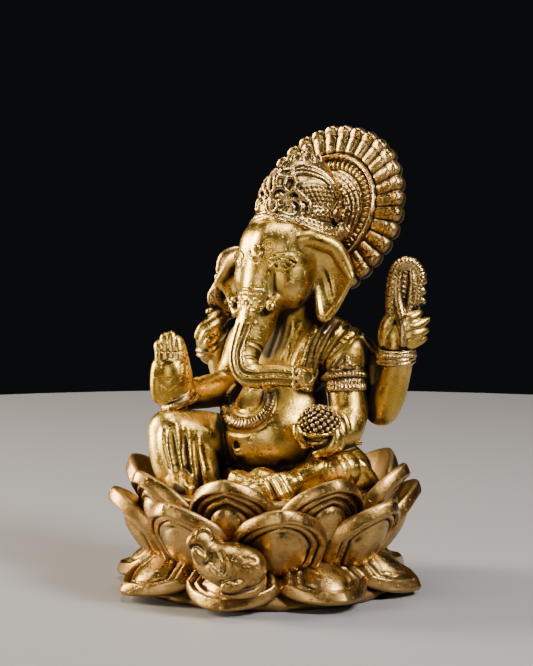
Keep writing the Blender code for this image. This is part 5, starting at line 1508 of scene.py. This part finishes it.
def brass(name, bright, deep, tarnish_and_shade, rough=0.27, pits=1.0, dark=1.0):
    """Cast brass: warm metal, brown tarnish and painted shade in the hollows, rubbed brighter on the high parts, fine
    grain and scratches.
    """
    mat = bpy.data.materials.new(name)
    mat.use_nodes = True
    nt = mat.node_tree
    nt.nodes.clear()
    N, L = nt.nodes.new, nt.links.new

    def node(kind, **props):
        n = N(kind)
        for k, v in props.items():
            setattr(n, k, v)
        return n

    def val(n, **kw):
        for k, v in kw.items():
            n.inputs[k.replace("_", " ")].default_value = v
        return n

    def math_(op, a, b=None, clamp=False):
        n = node("ShaderNodeMath", operation=op, use_clamp=clamp)
        for i, x in enumerate((a, b)):
            if x is None:
                continue
            if isinstance(x, (int, float)):
                n.inputs[i].default_value = x
            else:
                L(x, n.inputs[i])
        return n.outputs[0]

    def mix(f, a, b):
        n = node("ShaderNodeMix", data_type="RGBA")
        for i, x in ((0, f), (6, a), (7, b)):
            if isinstance(x, (tuple, float, int)):
                n.inputs[i].default_value = x
            else:
                L(x, n.inputs[i])
        return n.outputs[2]

    def ramp(x, lo, hi):
        n = node("ShaderNodeMapRange", interpolation_type="SMOOTHSTEP")
        L(x, n.inputs["Value"])
        n.inputs["From Min"].default_value, n.inputs["From Max"].default_value = lo, hi
        return n.outputs["Result"]

    def noise(scale, detail=4.0, rough_=0.55, vec_=None, dist=0.0):
        n = node("ShaderNodeTexNoise")
        n.inputs["Scale"].default_value = scale
        n.inputs["Detail"].default_value = detail
        n.inputs["Roughness"].default_value = rough_
        n.inputs["Distortion"].default_value = dist
        L(vec_ if vec_ is not None else co, n.inputs["Vector"])
        return n.outputs["Fac"]

    co = N("ShaderNodeTexCoord").outputs["Object"]
    cav = node("ShaderNodeAttribute", attribute_name="cavity").outputs["Fac"]
    wear = node("ShaderNodeAttribute", attribute_name="wear").outputs["Fac"]
    mapping = node("ShaderNodeMapping")
    mapping.inputs["Scale"].default_value = (1.0, 1.0, 7.0)
    mapping.inputs["Rotation"].default_value = (0.5, 0.9, 0.3)
    L(co, mapping.inputs["Vector"])
    cloud = noise(140, 5, 0.6)
    blotch = noise(420, 5, 0.65, dist=0.4)
    fine = noise(2600, 3, 0.6)
    grain = noise(6500, 2, 0.5)
    streak = noise(1500, 4, 0.6, mapping.outputs["Vector"])
    # colour
    tone = ramp(math_("ADD", math_("MULTIPLY", cloud, 0.65), math_("MULTIPLY", blotch, 0.35)), 0.36, 0.64)
    metal = mix(tone, rgb(*deep), rgb(*bright))
    # the cavity mask mixes in the tarnish colour: patina in the fine creases, painted shade in the broad recesses
    patina_and_shade = math_("ADD", math_("MULTIPLY", cav, 1.25 * dark), math_("MULTIPLY", math_("SUBTRACT", blotch, 0.5), 0.55))
    patina_and_shade = math_("ADD", patina_and_shade, math_("MULTIPLY", math_("SUBTRACT", fine, 0.5), 0.35))
    patina_and_shade = math_("SUBTRACT", patina_and_shade, math_("MULTIPLY", wear, 0.55))
    patina_and_shade = ramp(patina_and_shade, 0.10, 0.92)
    spots = math_("MULTIPLY", ramp(noise(900, 3, 0.7), 0.62, 0.72), 0.45)
    patina_and_shade = math_("MAXIMUM", patina_and_shade, spots)
    mid = mix(math_("MULTIPLY", patina_and_shade, 1.0), metal, rgb(*tarnish_and_shade))
    base = mix(math_("MULTIPLY", wear, 0.55, True), mid, rgb(*bright))
    # finish
    r1 = math_("ADD", rough, math_("MULTIPLY", math_("SUBTRACT", blotch, 0.5), 0.22))
    r2 = math_("ADD", r1, math_("MULTIPLY", patina_and_shade, 0.34))
    r3 = math_("ADD", r2, math_("MULTIPLY", math_("SUBTRACT", streak, 0.5), 0.14))
    r4 = math_("SUBTRACT", r3, math_("MULTIPLY", wear, 0.06))
    bsdf = N("ShaderNodeBsdfPrincipled")
    L(base, bsdf.inputs["Base Color"])
    L(math_("MAXIMUM", r4, 0.12), bsdf.inputs["Roughness"])
    L(math_("SUBTRACT", 1.0, math_("MULTIPLY", patina_and_shade, 0.28)), bsdf.inputs["Metallic"])
    pit = ramp(noise(1900, 3, 0.62), 0.60, 0.72)
    h = math_("ADD", math_("MULTIPLY", fine, 0.35), math_("MULTIPLY", grain, 0.16))
    h = math_("ADD", h, math_("MULTIPLY", blotch, 1.1))
    h = math_("ADD", h, math_("MULTIPLY", streak, 0.22))
    h = math_("SUBTRACT", h, math_("MULTIPLY", pit, 0.55 * pits))
    bump = N("ShaderNodeBump")
    bump.inputs["Strength"].default_value = 0.55
    bump.inputs["Distance"].default_value = 0.00016
    L(h, bump.inputs["Height"])
    L(bump.outputs["Normal"], bsdf.inputs["Normal"])
    out = N("ShaderNodeOutputMaterial")
    L(bsdf.outputs[0], out.inputs[0])
    return mat


# the third colour of each is the tarnish and painted shade of the hollows
FIGURE = brass("figure brass", (0.70, 0.47, 0.12), (0.43, 0.255, 0.033), (0.036, 0.020, 0.004), 0.28, 1.0, 1.0)
ORNAMENT = brass("ornament brass", (0.57, 0.385, 0.15), (0.29, 0.175, 0.045), (0.026, 0.014, 0.004), 0.28, 0.8, 1.1)
LOTUS = brass("lotus brass", (0.53, 0.333, 0.110), (0.28, 0.152, 0.036), (0.030, 0.016, 0.005), 0.30, 1.2, 1.1)

# ------------------------------------------------------------------ pieces
MADE = {}
for field in (body, palm, sweets, blessing, axe_f, loop, crown, mouse_f, arm_f):
    for name, (verts, quads, normals) in cells(field).items():
        if name == "arm_core":
            continue
        verts = np.asarray(verts, float)
        cav = np.zeros(len(verts))
        wear = np.zeros(len(verts))
        # cavity mask: the 0.35 to 1.8 mm terms mark patina in the creases; the 3.4 mm term is painted shade in broad
        # recesses between parts
        for d, a in ((0.35, 0.4), (0.8, 0.5), (1.8, 0.45), (3.4, 0.45)):
            open_ = np.clip(field.sample(verts + normals * d) / d, -1, 1.2)
            cav += a * np.clip(1 - open_, 0, 1)
        for d, a in ((0.3, 0.9), (0.6, 0.7)):
            deep_ = np.clip(-field.sample(verts - normals * d) / d, 0, 1.2)
            wear += a * np.clip(1 - deep_, 0, 1)
        if name in ("torso", "shawl", "front_left_arm"):
            # painted shade: torso, shawl and arm darker close behind the trunk, where the trunk shades them
            near = np.min([np.linalg.norm(verts - q[:3], axis=1) - q[3] for q in smooth_path(TRUNK, 5)], axis=0)
            cav += 0.6 * np.clip(1 - near / 3.8, 0, 1)
        if name.startswith("ear_"):
            # painted shade: the ear's dish darker everywhere except near its rims
            cav += 0.3 * np.clip(1 - 4 * wear, 0, 1)
        cav = np.clip(cav * 1.15 - 0.12, 0, 1)
        wear = np.clip(wear * 1.1 - 0.12 - cav * 0.6, 0, 1)
        mat = ORNAMENT if name in ("crown", "noose", "axe", "sweets", "necklace", "front_left_armlet", "front_right_bangle", "rear_left_bangle", "rear_right_wrist") else \
            LOTUS if name == "mouse" else FIGURE
        obj = mesh_from("v_" + name, verts, quads, None, None, {"cavity": cav, "wear": wear}, mat)
        MADE[name] = (obj, "lotus_brass" if mat is LOTUS else "ornament_brass" if mat is ORNAMENT else "figure_brass")

seed = 100
for tier, phase in (("lower", 22.5), ("outer", 0.0), ("inner", 22.5)):
    for k in range(8):
        seed += 1
        name = f"lotus_{tier}_petal_{k + 1}"
        MADE[name] = (petal("v_" + name, tier, phase + 45 * k, seed, LOTUS), "lotus_brass")
CORE = [(0, 0.0), (20.6, 0.0), (21.3, 0.5), (21.2, 1.3), (20.0, 2.4), (18.0, 3.9), (16.4, 5.4), (15.9, 7.0), (16.4, 8.4), (17.0, 10.5), (17.9, 13.5), (18.8, 15.9), (19.0, 16.8), (18.4, 17.3),
        (16.8, 17.2), (0, 17.2)]
MADE["lotus_core"] = (turned("v_lotus_core", CORE, 3, LOTUS, core_relief), "lotus_brass")
MADE["halo_disc"] = (halo(ORNAMENT), "ornament_brass")

for name, (obj, slot) in MADE.items():
    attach(obj, "root")
    if name in frame["nodes"]:
        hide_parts(name, *(("halo_ring",) if name == "halo_disc" else ()))

# ------------------------------------------------------------------ floor, light, camera
def plain(name, colour, rough):
    m = bpy.data.materials.new(name)
    m.use_nodes = True
    b = m.node_tree.nodes["Principled BSDF"]
    b.inputs["Base Color"].default_value = colour
    b.inputs["Roughness"].default_value = rough
    return m


ring = [(math.cos(a) * 0.245, math.sin(a) * 0.245, 0.0) for a in np.linspace(0, 2 * math.pi, 97)[:-1]]
fm = bpy.data.meshes.new("floor")
fm.from_pydata(ring, [], [tuple(range(96))])
floor = bpy.data.objects.new("floor", fm)
bpy.context.scene.collection.objects.link(floor)
fm.materials.append(plain("floor", (0.25, 0.243, 0.258, 1.0), 0.55))

world = bpy.data.worlds.new("studio")
bpy.context.scene.world = world
world.use_nodes = True
bg = world.node_tree.nodes["Background"]
bg.inputs["Color"].default_value = (0.55, 0.6, 0.75, 1)
bg.inputs["Strength"].default_value = 0.009


def area(name, right, up, back, size, power, colour=(1, 1, 1), size_y=None, spread=180):
    """Area light placed in the camera's frame (mm right, up and toward the viewer of the figure) and aimed at the figure."""
    data = bpy.data.lights.new(name, "AREA")
    data.shape = "RECTANGLE"
    data.size, data.size_y = size * MM, (size_y or size) * MM
    data.energy = power
    data.color = colour
    data.spread = math.radians(spread)
    obj = bpy.data.objects.new(name, data)
    bpy.context.scene.collection.objects.link(obj)
    p = AIM + RIGHT * right + UP * up + BACK * back
    obj.location = Vector(p * MM)
    obj.rotation_euler = (Vector((p - AIM) * MM)).to_track_quat("Z", "Y").to_euler()
    return obj


area("window left", -430, 150, -110, 150, 3.3, (1.0, 0.88, 0.62), 300, 120)
area("softbox right", 300, 300, 250, 130, 1.9, (1.0, 0.96, 0.92), 160, 120)
area("top", -40, 470, 20, 150, 0.75, (1, 0.95, 0.88), 150, 120)
area("front fill", -260, 60, 460, 140, 0.30, (1.0, 0.90, 0.78), 200, 120)

cam_data = bpy.data.cameras.new("camera")
cam_data.sensor_width = 36.0
cam_data.lens = 36.0 * FOCAL
cam_data.clip_start, cam_data.clip_end = 0.02, 20
cam = bpy.data.objects.new("camera", cam_data)
bpy.context.scene.collection.objects.link(cam)
turn = Matrix((RIGHT, np.cross(BACK, RIGHT), BACK)).transposed()
look = AIM + UP * 4.3
back2 = EYE - look
back2 /= np.linalg.norm(back2)
up2 = np.cross(back2, RIGHT)
turn = Matrix(((RIGHT[0], up2[0], back2[0]), (RIGHT[1], up2[1], back2[1]), (RIGHT[2], up2[2], back2[2])))
cam.matrix_world = Matrix.Translation(Vector(EYE * MM)) @ turn.to_4x4()
bpy.context.scene.camera = cam
